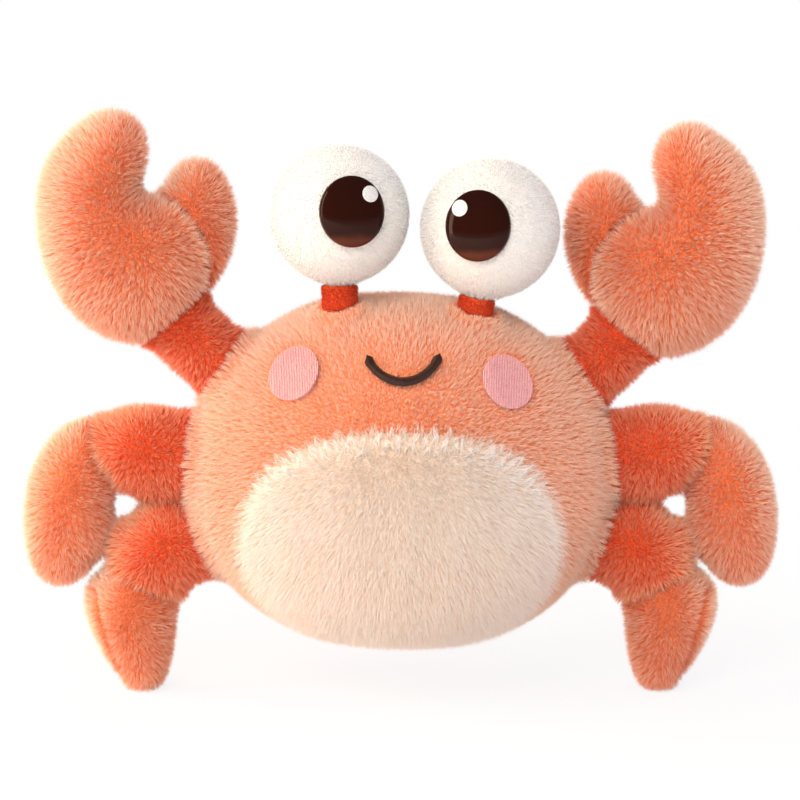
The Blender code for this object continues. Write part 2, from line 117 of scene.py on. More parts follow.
def pileMaterial(name, dark, light, sheenTint, sheen):
    # Polyester plush pile: fine crimped fibres, dull; painted shade makes each hair darker at the root, where
    # light is trapped, and painted light makes it paler at the tip. The map's U is the hair's tone, partly
    # painted shade and light, and V runs root to tip.
    material, add = newMaterial(name)
    uv = add("ShaderNodeUVMap", out="UV", uv_map="OFBake")
    place = add("ShaderNodeSeparateXYZ", {0: uv}).outputs
    darkHair, lightHair = [
        add("ShaderNodeValToRGB", {"Fac": place["Y"]}, "Color", zip((0.05, 0.45, 1.0), colours))
        for colours in (dark, light)]
    colour = add("ShaderNodeMix", {0: place["X"], 6: darkHair, 7: lightHair}, 2, data_type="RGBA")
    return finishMaterial(material, {
        "Base Color": colour, "Roughness": 0.8, "Specular IOR Level": 0.2, "Sheen Weight": sheen,
        "Sheen Roughness": 0.45, "Sheen Tint": linear(sheenTint)})


def backingMaterial(name, dark, light):
    # Knitted polyester backing that the pile stands in: dull, with loops of about 0.9 mm
    material, add = newMaterial(name)
    spot = add("ShaderNodeTexCoord", out="Object")
    loops = add("ShaderNodeTexVoronoi", {"Vector": spot, "Scale": 1 / (0.9 * mm)}, "Distance")
    patches = add("ShaderNodeTexNoise", {"Vector": spot, "Scale": 1 / (6 * mm), "Detail": 4.0}, "Fac")
    mixed = add("ShaderNodeMath", {0: loops, 1: patches}, 0, operation="MULTIPLY")
    colour = add("ShaderNodeValToRGB", {"Fac": mixed}, "Color", [(0.05, dark), (0.45, light)])
    bump = add("ShaderNodeBump", {"Height": loops, "Strength": 0.4, "Distance": 0.2 * mm}, "Normal")
    return finishMaterial(material, {"Base Color": colour, "Normal": bump, "Roughness": 0.9,
                                     "Specular IOR Level": 0.15})


def threadMaterial(name, dark, light, gloss=0.2):
    # Rayon embroidery thread: two fine plies with a silky gloss, so the colour varies along each stitch
    material, add = newMaterial(name)
    spot = add("ShaderNodeTexCoord", out="Object")
    plies = add("ShaderNodeTexNoise", {"Vector": spot, "Scale": 1 / (0.5 * mm), "Detail": 3.0}, "Fac")
    colour = add("ShaderNodeValToRGB", {"Fac": plies}, "Color", [(0.3, dark), (0.7, light)])
    bump = add("ShaderNodeBump", {"Height": plies, "Strength": 0.3, "Distance": 0.1 * mm}, "Normal")
    return finishMaterial(material, {"Base Color": colour, "Normal": bump, "Roughness": 0.36,
                                     "Specular IOR Level": gloss})


def pupilMaterial(name, zLow, zHigh):
    # Moulded and polished plastic safety eye: near-black brown, with a painted reflection of the floor that
    # turns the lower part amber brown
    material, add = newMaterial(name)
    spot = add("ShaderNodeTexCoord", out="Object")
    height = add("ShaderNodeSeparateXYZ", {0: spot}, "Z")
    cloud = add("ShaderNodeTexNoise", {"Vector": spot, "Scale": 1 / (9 * mm), "Detail": 2.0}, "Fac")
    wave = add("ShaderNodeMath", {0: cloud, 1: 0.003, 2: height}, 0, operation="MULTIPLY_ADD")
    share = add("ShaderNodeMapRange", {"Value": wave, "From Min": zLow, "From Max": zHigh}, "Result")
    colour = add("ShaderNodeValToRGB", {"Fac": share}, "Color", [
        (0.0, "#5C2C1E"), (0.27, "#542818"), (0.32, "#3C170C"), (0.36, "#280D06"), (1.0, "#240B05")])
    return finishMaterial(material, {"Base Color": colour, "Roughness": 0.08, "IOR": 1.49,
                                     "Specular IOR Level": 0.15})


def paintMaterial(name, colour):
    # Pad-printed enamel dot: opaque, with a fine print grain
    material, add = newMaterial(name)
    spot = add("ShaderNodeTexCoord", out="Object")
    grain = add("ShaderNodeTexNoise", {"Vector": spot, "Scale": 1 / (0.4 * mm), "Detail": 2.0}, "Fac")
    tint = add("ShaderNodeValToRGB", {"Fac": grain}, "Color", [(0.35, "#CACAC8"), (0.65, colour)])
    return finishMaterial(material, {"Base Color": tint, "Roughness": 0.35})


# root, middle and tip of the darkest and of the lightest hairs of each cloth
peachPile = pileMaterial("peachPlushPile", ("#F08E60", "#FFCBA8", "#FFECDC"),
                         ("#FAAC84", "#FFDCC2", "#FFF4EA"), "#FFD8C0", 0.2)
orangePile = pileMaterial("orangePlushPile", ("#CE4A1E", "#EE7844", "#FCAA7E"),
                          ("#FCB284", "#FFDEC2", "#FFF8F0"), "#FFD8B4", 0.6)
redPile = pileMaterial("redPlushPile", ("#C42E0E", "#F0562A", "#FC865A"),
                       ("#F6925E", "#FFBE94", "#FFE6D0"), "#FFC8A0", 0.45)
creamPile = pileMaterial("creamPlushPile", ("#ECCDB4", "#FAE4D2", "#FFF3E8"),
                         ("#F8E8DA", "#FFFAF4", "#FFFFFF"), "#FFFFFF", 0.25)
whitePile = pileMaterial("whitePlushPile", ("#E4E2DF", "#EEEDEB", "#F6F5F4"),
                         ("#ECEBE9", "#F4F3F2", "#FBFAFA"), "#FFFFFF", 0.15)
velourPile = pileMaterial("redVelourPile", ("#A82812", "#CC3C1E", "#DC5434"),
                          ("#B83218", "#DC4C2C", "#EA6C48"), "#FFB090", 0.2)
peachBacking = backingMaterial("peachKnittedBacking", "#EE8450", "#FCB084")
orangeBacking = backingMaterial("orangeKnittedBacking", "#E86A38", "#F89562")
redBacking = backingMaterial("redKnittedBacking", "#D63E1A", "#F0683A")
creamBacking = backingMaterial("creamKnittedBacking", "#F2DAC4", "#FBEDE0")
whiteBacking = backingMaterial("whiteKnittedBacking", "#E4E2DE", "#F0EFEC")
brownThread = threadMaterial("brownRayonThread", "#140704", "#44241A", 0.5)
pinkThread = threadMaterial("pinkRayonThread", "#DC8E98", "#F2C6C0")
whitePaint = paintMaterial("whitePadPrint", "#E6E6E4")
print("materials made")

# soft skins


def nodeMesh(names):
    # CAD solids as one bmesh, their loose triangles joined
    bm = bmesh.new()
    for name in names:
        bm.from_mesh(nodes[name].data)
    bmesh.ops.remove_doubles(bm, verts=bm.verts, dist=0.01 * mm)
    return bm


def linkMesh(name, mesh):
    obj = bpy.data.objects.new(name, mesh)
    bpy.context.scene.collection.objects.link(obj)
    return obj


def meshObject(name, bm, material=None):
    # a finished bmesh as an object
    mesh = bpy.data.meshes.new(name)
    bm.to_mesh(mesh)
    bm.free()
    if material:
        mesh.materials.append(material)
    return linkMesh(name, mesh)


def applyModifiers(obj):
    # swap the mesh for what its modifiers make, and drop them
    graph = bpy.context.evaluated_depsgraph_get()
    made = bpy.data.meshes.new_from_object(obj.evaluated_get(graph))
    obj.modifiers.clear()
    obj.data = made
    return obj


def finishSurface(obj, material):
    obj.data.shade_smooth()
    obj.data.materials.clear()
    obj.data.materials.append(material)


def keepLargest(obj):
    # the biggest island of a mesh, without bubbles that a remesh leaves in narrow gaps
    bm = bmesh.new()
    bm.from_mesh(obj.data)
    left = set(bm.verts)
    islands = []
    while left:
        seed = left.pop()
        island, edge = {seed}, [seed]
        while edge:
            vertex = edge.pop()
            for link in vertex.link_edges:
                other = link.other_vert(vertex)
                if other in left:
                    left.discard(other)
                    island.add(other)
                    edge.append(other)
        islands.append(island)
    islands.sort(key=len)
    loose = [v for island in islands[:-1] for v in island]
    bmesh.ops.delete(bm, geom=loose, context="VERTS")
    bmesh.ops.recalc_face_normals(bm, faces=bm.faces)
    bm.to_mesh(obj.data)
    bm.free()


def softForm(name, sources, voxel):
    # one even quad skin round some CAD solids
    obj = meshObject(name, nodeMesh(sources))
    remesh = obj.modifiers.new("even quads", "REMESH")
    remesh.mode = "VOXEL"
    remesh.voxel_size = voxel
    relax = obj.modifiers.new("relax", "SMOOTH")
    relax.factor = 0.5
    relax.iterations = 3
    applyModifiers(obj)
    keepLargest(obj)
    return obj


def readPoints(mesh, key="co"):
    values = np.zeros(len(mesh.vertices) * 3, np.float32)
    mesh.vertices.foreach_get(key, values)
    return values.reshape(-1, 3).astype(float)


def readNormals(mesh):
    return readPoints(mesh, "normal")


def writePoints(mesh, points):
    mesh.vertices.foreach_set("co", np.asarray(points, np.float32).ravel())
    mesh.update()


def smoothStep(value, low, high):
    share = np.clip((value - low) / (high - low), 0.0, 1.0)
    return share * share * (3 - 2 * share)


def treeOf(names):
    bm = nodeMesh(names)
    tree = BVHTree.FromBMesh(bm)
    bm.free()
    return tree


def distances(points, tree):
    return np.array([tree.find_nearest(Vector(p))[3] for p in points])


# how squarely a skin looks at a neighbour that it is sewn to, and how near it is in mm
sewnSeam = {"facing": (0.35, 0.7), "gap": (0.9, 1.8)}


def hiddenShare(points, normals, tree, gap):
    # 1 where a skin looks straight at a neighbour that it is sewn against, 0 in the open
    toward = np.array([(tree.find_nearest(Vector(p))[0] - Vector(p)).normalized()[:] for p in points])
    facing = (toward * normals).sum(axis=1)
    near, clear = sewnSeam["gap"]
    return smoothStep(facing, *sewnSeam["facing"]) * (1.0 - smoothStep(gap, near * mm, clear * mm))


def addAttribute(mesh, name, kind, values):
    attribute = mesh.attributes.new(name, kind, "POINT")
    key = "vector" if kind == "FLOAT_VECTOR" else "value"
    attribute.data.foreach_set(key, np.asarray(values, np.float32).ravel())


# pile of hairs


def newTree(name, sockets, result):
    # a Geometry Nodes tree with its named inputs and one output, and what adds a node to it
    tree = bpy.data.node_groups.new(name, "GeometryNodeTree")
    for label, kind in sockets.items():
        tree.interface.new_socket(label, in_out="INPUT", socket_type=f"NodeSocket{kind}")
    tree.interface.new_socket(result, in_out="OUTPUT", socket_type="NodeSocketGeometry")
    return tree, partial(addNode, tree), addNode(tree, "NodeGroupInput").outputs


def setInputs(modifier, tree, values):
    modifier.node_group = tree
    for item in tree.interface.items_tree:
        if item.in_out == "INPUT" and item.name in values:
            modifier[item.identifier] = values[item.name]


def buildPileTree():
    tree, add, given = newTree("plushPile", {
        "Skin": "Geometry", "Density": "Float", "Length": "Float", "Width": "Float", "Lean": "Float",
        "Tuft size": "Float", "Tuft pull": "Float", "Unevenness": "Float", "Seed": "Int",
        "Finish": "Material"}, "Pile")
    named = {name: add("GeometryNodeInputNamedAttribute", {"Name": name}, 0, data_type=kind)
             for name, kind in (("pileDensity", "FLOAT"), ("pileLength", "FLOAT"), ("pileTone", "FLOAT"),
                                ("pileComb", "FLOAT_VECTOR"), ("hairHeight", "FLOAT"),
                                ("hairSide", "FLOAT"), ("hairTone", "FLOAT"),
                                ("hairNormal", "FLOAT_VECTOR"))}
    where = add("GeometryNodeInputPosition", out=0)
    chance, roll, tall = [
        add("FunctionNodeRandomValue", {2: low, 3: high, "Seed": fixed}, 1, data_type="FLOAT")
        for low, high, fixed in ((0.0, 1.0, 7), (0.0, 2 * math.pi, 3), (0.72, 1.12, 5))]

    # one hair, a unit tall and wide: a single long triangle, fine enough to stand in hundreds of thousands
    hair = add("GeometryNodeMeshGrid", {"Size X": 1.0, "Size Y": 1.0, "Vertices X": 2, "Vertices Y": 2},
               "Mesh")
    flat = add("ShaderNodeSeparateXYZ", {0: where}).outputs
    height = add("ShaderNodeMath", {0: flat["Y"], 1: 0.5}, 0, operation="ADD")
    for name, value in (("hairHeight", height), ("hairSide", flat["X"])):
        hair = add("GeometryNodeStoreNamedAttribute", {"Geometry": hair, "Name": name, "Value": value}, 0)
    narrow = add("ShaderNodeMath", {0: 1.0, 1: named["hairHeight"]}, 0, operation="SUBTRACT")
    narrow = add("ShaderNodeMath", {0: named["hairSide"], 1: narrow}, 0, operation="MULTIPLY")
    shape = add("ShaderNodeCombineXYZ", {"X": narrow, "Z": named["hairHeight"]}, 0)
    hair = add("GeometryNodeSetPosition", {"Geometry": hair, "Position": shape}, 0)
    hair = add("GeometryNodeMergeByDistance", {"Geometry": hair, "Distance": 0.001}, 0)

    # roots, and the tuft that each hair is drawn to
    dense = add("ShaderNodeMath", {0: given["Density"], 1: named["pileDensity"]}, 0, operation="MULTIPLY")
    spread = add("GeometryNodeDistributePointsOnFaces", {"Mesh": given["Skin"], "Density": dense,
                                                         "Seed": given["Seed"]}).outputs
    outward = spread["Normal"]
    warp = add("ShaderNodeTexNoise", {"Vector": where, "Scale": 120.0, "Detail": 1.0}, "Color")
    warp = add("ShaderNodeVectorMath", {0: warp, 1: (0.5, 0.5, 0.5)}, 0, operation="SUBTRACT")
    warp = add("ShaderNodeVectorMath", {0: warp, "Scale": 0.004}, 0, operation="SCALE")
    warped = add("ShaderNodeVectorMath", {0: where, 1: warp}, 0, operation="ADD")
    cells = add("ShaderNodeMath", {0: 1.0, 1: given["Tuft size"]}, 0, operation="DIVIDE")
    tufts = add("ShaderNodeTexVoronoi", {"Vector": warped, "Scale": cells}).outputs
    pull = add("ShaderNodeVectorMath", {0: tufts["Position"], 1: warped}, 0, operation="SUBTRACT")
    rise = add("ShaderNodeVectorMath", {0: pull, 1: outward}, "Value", operation="DOT_PRODUCT")
    rise = add("ShaderNodeVectorMath", {0: outward, "Scale": rise}, 0, operation="SCALE")
    pull = add("ShaderNodeVectorMath", {0: pull, 1: rise}, 0, operation="SUBTRACT")
    strength = add("ShaderNodeMath", {0: given["Tuft pull"], 1: given["Length"]}, 0, operation="DIVIDE")

    # the way each hair leans: combed, drawn to its tuft, and a little astray
    stray = add("FunctionNodeRandomValue", {0: (-1.0, -1.0, -1.0), 1: (1.0, 1.0, 1.0),
                                            "Seed": given["Seed"]}, 0, data_type="FLOAT_VECTOR")
    way = outward
    for toward, amount in ((named["pileComb"], given["Lean"]), (pull, strength),
                           (stray, given["Unevenness"])):
        lean = add("ShaderNodeVectorMath", {0: toward, "Scale": amount}, 0, operation="SCALE")
        way = add("ShaderNodeVectorMath", {0: way, 1: lean}, 0, operation="ADD")
    way = add("ShaderNodeVectorMath", {0: way}, 0, operation="NORMALIZE")

    # tone of each hair, part its tuft's and part its own, and the normal that it is shaded with
    tuftTone = add("ShaderNodeSeparateXYZ", {0: tufts["Color"]}, "X")
    tuftTone = add("ShaderNodeMath", {0: tuftTone, 1: 0.25}, 0, operation="MULTIPLY")
    ownTone = add("ShaderNodeMath", {0: chance, 1: 0.5}, 0, operation="MULTIPLY")
    tone = add("ShaderNodeMath", {0: tuftTone, 1: ownTone}, 0, operation="ADD")
    tone = add("ShaderNodeMath", {0: tone, 1: named["pileTone"]}, 0, operation="ADD")
    tone = add("ShaderNodeClamp", {"Value": tone, "Min": 0.01, "Max": 0.99}, 0)
    shade = add("ShaderNodeVectorMath", {0: way, "Scale": 0.8}, 0, operation="SCALE")
    shade = add("ShaderNodeVectorMath", {0: outward, 1: shade}, 0, operation="ADD")
    shade = add("ShaderNodeVectorMath", {0: shade}, 0, operation="NORMALIZE")
    points = spread["Points"]
    for name, value, kind in (("hairTone", tone, "FLOAT"), ("hairNormal", shade, "FLOAT_VECTOR")):
        points = add("GeometryNodeStoreNamedAttribute", {"Geometry": points, "Name": name, "Value": value},
                     0, data_type=kind)

    # stand the hairs up
    turn = add("FunctionNodeAlignRotationToVector", {"Vector": way}, 0, axis="Z")
    roll = add("FunctionNodeAxisAngleToRotation", {"Axis": (0.0, 0.0, 1.0), "Angle": roll}, 0)
    turn = add("FunctionNodeRotateRotation", {"Rotation": turn, "Rotate By": roll}, 0,
               rotation_space="LOCAL")
    tall = add("ShaderNodeMath", {0: tall, 1: given["Length"]}, 0, operation="MULTIPLY")
    tall = add("ShaderNodeMath", {0: tall, 1: named["pileLength"]}, 0, operation="MULTIPLY")
    size = add("ShaderNodeCombineXYZ", {"X": given["Width"], "Y": tall, "Z": tall}, 0)
    mesh = add("GeometryNodeInstanceOnPoints", {"Points": points, "Instance": hair, "Rotation": turn,
                                                "Scale": size}, 0)
    mesh = add("GeometryNodeRealizeInstances", {"Geometry": mesh}, 0)

    # map and shading normals, then the finish
    nudge = add("ShaderNodeMath", {0: named["hairSide"], 1: 0.003}, 0, operation="MULTIPLY")
    across = add("ShaderNodeMath", {0: named["hairTone"], 1: nudge}, 0, operation="ADD")
    along = add("ShaderNodeMapRange", {"Value": named["hairHeight"], "To Min": 0.02, "To Max": 0.98}, 0)
    uv = add("ShaderNodeCombineXYZ", {"X": across, "Y": along}, 0)
    mesh = add("GeometryNodeStoreNamedAttribute", {"Geometry": mesh, "Name": "OFBake", "Value": uv}, 0,
               data_type="FLOAT2", domain="CORNER")
    mesh = add("GeometryNodeSetMeshNormal", {"Mesh": mesh, "Custom Normal": named["hairNormal"]}, 0,
               mode="FREE", domain="POINT")
    for name in ("hairHeight", "hairSide", "hairTone", "hairNormal"):
        mesh = add("GeometryNodeRemoveAttribute", {"Geometry": mesh, "Name": name}, 0)
    mesh = add("GeometryNodeSetMaterial", {"Geometry": mesh, "Material": given["Finish"]}, 0)
    add("NodeGroupOutput", {0: mesh})
    return tree


pileTree = buildPileTree()


def growPile(name, skin, look, finish, seed):
    # hairs over a skin as one plain mesh piece
    obj = linkMesh(name, skin.data.copy())
    setInputs(obj.modifiers.new("pile", "NODES"), pileTree, {
        "Density": look["perSquareMm"] / mm ** 2, "Length": look["length"] * mm,
        "Width": look["width"] * mm, "Lean": look["lean"], "Tuft size": look["tuft"] * mm,
        "Tuft pull": look["pull"], "Unevenness": look["uneven"], "Seed": seed, "Finish": finish})
    return applyModifiers(obj)


# pockets

# Pile looks: hair length and width in mm, hairs per square mm, and how far they lean, gather and stray
bodyPile = {"length": 3.8, "width": 0.22, "perSquareMm": 6.2, "lean": 0.65, "tuft": 2.0, "pull": 0.8,
            "uneven": 0.24}
bellyPile = {"length": 4.4, "width": 0.2, "perSquareMm": 7.4, "lean": 0.9, "tuft": 2.0, "pull": 0.4,
             "uneven": 0.2}
fringePile = {"length": 5.2, "width": 0.28, "perSquareMm": 6.0, "lean": 0.9, "tuft": 4.2, "pull": 1.8,
              "uneven": 0.3}
clawPile = {"length": 4.3, "width": 0.22, "perSquareMm": 6.6, "lean": 0.85, "tuft": 2.0, "pull": 0.85,
            "uneven": 0.22}
limbPile = {"length": 3.6, "width": 0.22, "perSquareMm": 6.4, "lean": 0.75, "tuft": 1.9, "pull": 0.8,
            "uneven": 0.24}
ballPile = {"length": 1.1, "width": 0.3, "perSquareMm": 4.6, "lean": 0.9, "tuft": 1.6, "pull": 0.2,
            "uneven": 0.2}
stalkPile = {"length": 1.6, "width": 0.24, "perSquareMm": 8.0, "lean": 1.0, "tuft": 1.4, "pull": 0.5,
             "uneven": 0.2}

pockets = {
    "body": {"nodes": ["body", "belly_panel", "smile", "cheek_left", "cheek_right"],
             "near": ["arm_left", "arm_right", "thigh_upper_left", "thigh_upper_right", "thigh_lower_left",
                      "thigh_lower_right", "eye_stalk_left", "eye_stalk_right"],
             "voxel": 3.0, "depth": 2.3, "look": bodyPile, "pile": peachPile, "skin": peachBacking,
             "slot": "orange_plush", "tone": (0.2, 0.3), "fill": 0.9, "pressure": 2000.0},
}
orange = {"pile": orangePile, "skin": orangeBacking, "slot": "orange_plush", "voxel": 3.0, "fill": 0.8}
red = {"pile": redPile, "skin": redBacking, "slot": "red_plush", "voxel": 3.0, "fill": 0.8}
velour = {"pile": velourPile, "skin": redBacking, "slot": "red_velour", "voxel": 1.2, "fill": 0.9}
limbs = {
    "palm": {**orange, "near": ["arm", "thumb"], "over": ["thumb"], "overhang": 0.3, "voxel": 3.6,
             "depth": 0.2, "pressure": 2000.0, "look": clawPile, "tone": (0.2, 0.9)},
    "thumb": {**orange, "near": ["palm", "arm"], "under": ["palm"], "depth": 1.9, "look": clawPile,
              "tone": (0.16, 0.65)},
    "arm": {**red, "near": ["body", "palm", "thumb"], "under": ["body", "palm"], "depth": 1.8,
            "look": limbPile, "tone": (0.05, 0.45), "fill": 0.7},
    "thigh_upper": {**red, "near": ["body", "shin_upper", "thigh_lower"], "over": ["shin_upper"],
                    "overhang": 0.6, "under": ["body"], "depth": 1.3, "look": limbPile,
                    "tone": (0.05, 1.0)},
    "thigh_lower": {**red, "near": ["body", "shin_upper", "shin_lower", "thigh_upper"],
                    "over": ["shin_lower"], "overhang": 0.6, "under": ["body", "thigh_upper"],
                    "depth": 1.4, "look": limbPile, "tone": (0.08, 1.0)},
    "shin_upper": {**orange, "near": ["thigh_upper", "thigh_lower"], "under": ["thigh_upper"],
                   "depth": 0.4, "look": limbPile, "tone": (0.12, 1.0)},
    "shin_lower": {**orange, "near": ["thigh_lower", "shin_upper"], "under": ["thigh_lower"],
                   "depth": 0.7, "look": limbPile, "tone": (0.12, 1.0)},
    "eye_stalk": {**velour, "near": ["body", "eyeball"], "depth": 0.9, "look": stalkPile,
                  "tone": (0.2, 0.2)},
}
for word in ("left", "right"):
    for limb, values in limbs.items():
        pocket = {**values, "nodes": [f"{limb}_{word}"]}
        for key in {"near", "over", "under"} & set(values):
            pocket[key] = [node if node == "body" else f"{node}_{word}" for node in values[key]]
        pockets[f"{limb}_{word}"] = pocket

stuffing = {"seamDepth": 0.3, "edgeDepth": -0.9, "seamSpread": 7.0, "slack": 1.2, "pressure": 25000.0,
            "steps": 20}


def cutSkin(name, pocket):
    # skin under the pile: just inside the CAD surface at the seams, a pile's height inside elsewhere
    skin = softForm(f"{name}Skin", pocket["nodes"], pocket["voxel"] * mm)
    points = readPoints(skin.data)
    normals = readNormals(skin.data)
    tree = treeOf(pocket["near"])
    near = distances(points, tree)
    free = smoothStep(near, 1.0 * mm, stuffing["seamSpread"] * mm)
    sewn = stuffing["seamDepth"] + (stuffing["edgeDepth"] - stuffing["seamDepth"]) * (
        1.0 - hiddenShare(points, normals, tree, near))
    if pocket["voxel"] < 2:
        sewn = stuffing["seamDepth"]
    depth = (sewn + (pocket["depth"] - sewn) * free) * mm
    slack = stuffing["slack"] * mm * free if pocket["voxel"] > 2 else 0.0 * free
    writePoints(skin.data, points - normals * (depth + slack)[:, None])
    pocket["held"] = 1.0 - free
    pocket["object"] = skin
    return skin


def stuff(pocketList):
    # cloth under pressure: every sewn skin swells out of its seams together, no further than its slack
    scene = bpy.context.scene
    scene.frame_start, scene.frame_end = 1, stuffing["steps"]
    before = {}
    for pocket in pocketList:
        skin = pocket["object"]
        before[skin.name] = readPoints(skin.data)
        group = skin.vertex_groups.new(name="held")
        for i, weight in enumerate(pocket["held"]):
            group.add([i], float(weight), "REPLACE")
        cloth = skin.modifiers.new("stuffing", "CLOTH")
        sewn = cloth.settings
        sewn.quality = 4
        sewn.mass = 0.3
        sewn.tension_stiffness = sewn.compression_stiffness = 8.0
        sewn.bending_stiffness = 1.0
        sewn.air_damping = 4.0
        sewn.effector_weights.gravity = 0.0
        sewn.use_pressure = True
        sewn.uniform_pressure_force = pocket.get("pressure", stuffing["pressure"])
        sewn.vertex_group_mass = "held"
        cloth.collision_settings.use_collision = False
    for step in range(1, stuffing["steps"] + 1):
        scene.frame_set(step)
    graph = bpy.context.evaluated_depsgraph_get()
    moves = []
    for pocket in pocketList:
        skin = pocket["object"]
        blown = skin.evaluated_get(graph).to_mesh()
        moved = readPoints(blown) - before[skin.name]
        skin.evaluated_get(graph).to_mesh_clear()
        reach = np.linalg.norm(moved, axis=1)
        limit = stuffing["slack"] * mm
        moves.append(float(reach.mean()) / mm)
        moved *= np.minimum(1.0, limit / np.maximum(reach, 1e-9))[:, None]
        skin.modifiers.clear()
        skin.vertex_groups.clear()
        writePoints(skin.data, before[skin.name] + moved)
    scene.frame_set(1)
    print("stuffed, mean swelling in mm:", [round(m, 2) for m in moves])


for name, pocket in pockets.items():
    cutSkin(name, pocket)
print("skins cut")
simulated = [pocket for pocket in pockets.values() if pocket["voxel"] > 2]
stuff(simulated)


for pocket in pockets.values():
    finishSurface(pocket["object"], pocket["skin"])
bodyTree = BVHTree.FromObject(pockets["body"]["object"], bpy.context.evaluated_depsgraph_get())
cadBodyTree = treeOf(pockets["body"]["nodes"])
print("skins finished")

# belly panel and embroidery

bellyPanel = {"width": 124.5, "length": 104.5, "squareness": 2.15, "tilt": 30.0, "middle": 91.35,
              "rings": 18, "spokes": 72, "proud": 0.5, "thick": 0.9}
cheekOval = {"long": 21.6, "short": 16.6, "slant": 45.0, "x": 41.0, "drop": 25.3, "rightLower": 3.0,
             "rings": 6, "spokes": 40}
smileBand = {"radius": 15.1, "halfAngle": 59.0, "band": 2.9, "drop": 26.8, "x": 0.9}
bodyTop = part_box("body")[1].z / mm
smileMiddle = (smileBand["x"] * mm, (bodyTop - smileBand["drop"] + smileBand["radius"]) * mm)

bellyFrame = Matrix.Translation((0.0, 0.0, bellyPanel["middle"] * mm))
bellyFrame @= Matrix.Rotation(math.radians(bellyPanel["tilt"]), 4, "X")


def ovalShare(across, up, width, height, squareness):
    # 1 on a rounded oval's edge, less inside it
    return (abs(2 * across / width) ** squareness + abs(2 * up / height) ** squareness) ** (1 / squareness)


def bellyShare(point):
    local = bellyFrame.inverted() @ Vector(point)
    if local.y > 0:
        return 9.0
    return ovalShare(local.x, local.z, bellyPanel["width"] * mm, bellyPanel["length"] * mm,
                     bellyPanel["squareness"])


def cheekPlace(side):
    lower = cheekOval["rightLower"] if side > 0 else 0.0
    return side * cheekOval["x"] * mm, (bodyTop - cheekOval["drop"] - lower) * mm


def cheekShare(point, side):
    if point[1] > 0:
        return 9.0
    x, z = cheekPlace(side)
    slant = side * math.radians(cheekOval["slant"])
    across, up = point[0] - x, point[2] - z
    turned = (across * math.cos(slant) - up * math.sin(slant),
              across * math.sin(slant) + up * math.cos(slant))
    return ovalShare(turned[0], turned[1], cheekOval["long"] * mm, cheekOval["short"] * mm, 2.0)


def smileDistance(point):
    # metres from the edge of the smile's band, negative inside it
    if point[1] > 0:
        return 1.0
    x, z = point[0] - smileMiddle[0], point[2] - smileMiddle[1]
    angle = math.atan2(x, -z)
    half = math.radians(smileBand["halfAngle"])
    radius = smileBand["radius"] * mm
    if abs(angle) <= half:
        reach = abs(math.hypot(x, z) - radius)
    else:
        end = math.copysign(half, angle)
        reach = math.hypot(x - radius * math.sin(end), z + radius * math.cos(end))
    return reach - smileBand["band"] / 2 * mm


def patch(name, outline, rings, frameMatrix, tree, lift, thick, material):
    # closed thin pad that lies on a surface, drawn from an outline seen along the frame's Y
    bm = bmesh.new()
    outward = (frameMatrix.to_3x3() @ Vector((0.0, -1.0, 0.0))).normalized()

    def dropped(across, up):
        start = frameMatrix @ Vector((across, 0.0, up)) + outward * 0.2
        hit, normal = tree.ray_cast(start, -outward)[:2]
        return hit + normal * lift

    middle = (sum(p[0] for p in outline) / len(outline), sum(p[1] for p in outline) / len(outline))
    loops = []
    for ring in range(1, rings + 1):
        share = ring / rings
        loop = []
        for across, up in outline:
            place = (middle[0] + (across - middle[0]) * share, middle[1] + (up - middle[1]) * share)
            loop.append(bm.verts.new(dropped(*place)))
        loops.append(loop)
    centre = bm.verts.new(dropped(*middle))
    count = len(outline)
    for i in range(count):
        j = (i + 1) % count
        bm.faces.new((centre, loops[0][i], loops[0][j]))
        for low, high in zip(loops, loops[1:]):
            bm.faces.new((low[i], high[i], high[j], low[j]))
    bmesh.ops.recalc_face_normals(bm, faces=bm.faces)
    bm.normal_update()
    if sum((f.normal.dot(outward) for f in bm.faces)) < 0:
        bmesh.ops.reverse_faces(bm, faces=bm.faces)
    obj = meshObject(name, bm)
    wall = obj.modifiers.new("thickness", "SOLIDIFY")
    wall.thickness = thick
    wall.offset = -1.0
    applyModifiers(obj)
    finishSurface(obj, material)
    return obj


def ovalOutline(width, height, squareness, count, slant=0.0):
    outline = []
    for i in range(count):
        turn = 2 * math.pi * i / count
        c, s = math.cos(turn), math.sin(turn)
        across = width / 2 * math.copysign(abs(c) ** (2 / squareness), c)
        up = height / 2 * math.copysign(abs(s) ** (2 / squareness), s)
        outline.append((across * math.cos(slant) - up * math.sin(slant),
                        across * math.sin(slant) + up * math.cos(slant)))
    return outline


bellyOutline = ovalOutline(bellyPanel["width"] * mm, bellyPanel["length"] * mm, bellyPanel["squareness"],
                           bellyPanel["spokes"])
belly = patch("bellySkin", bellyOutline, bellyPanel["rings"], bellyFrame, bodyTree,
              bellyPanel["proud"] * mm, bellyPanel["thick"] * mm, creamBacking)

# thread stitches from loose edges, each edge one stitch


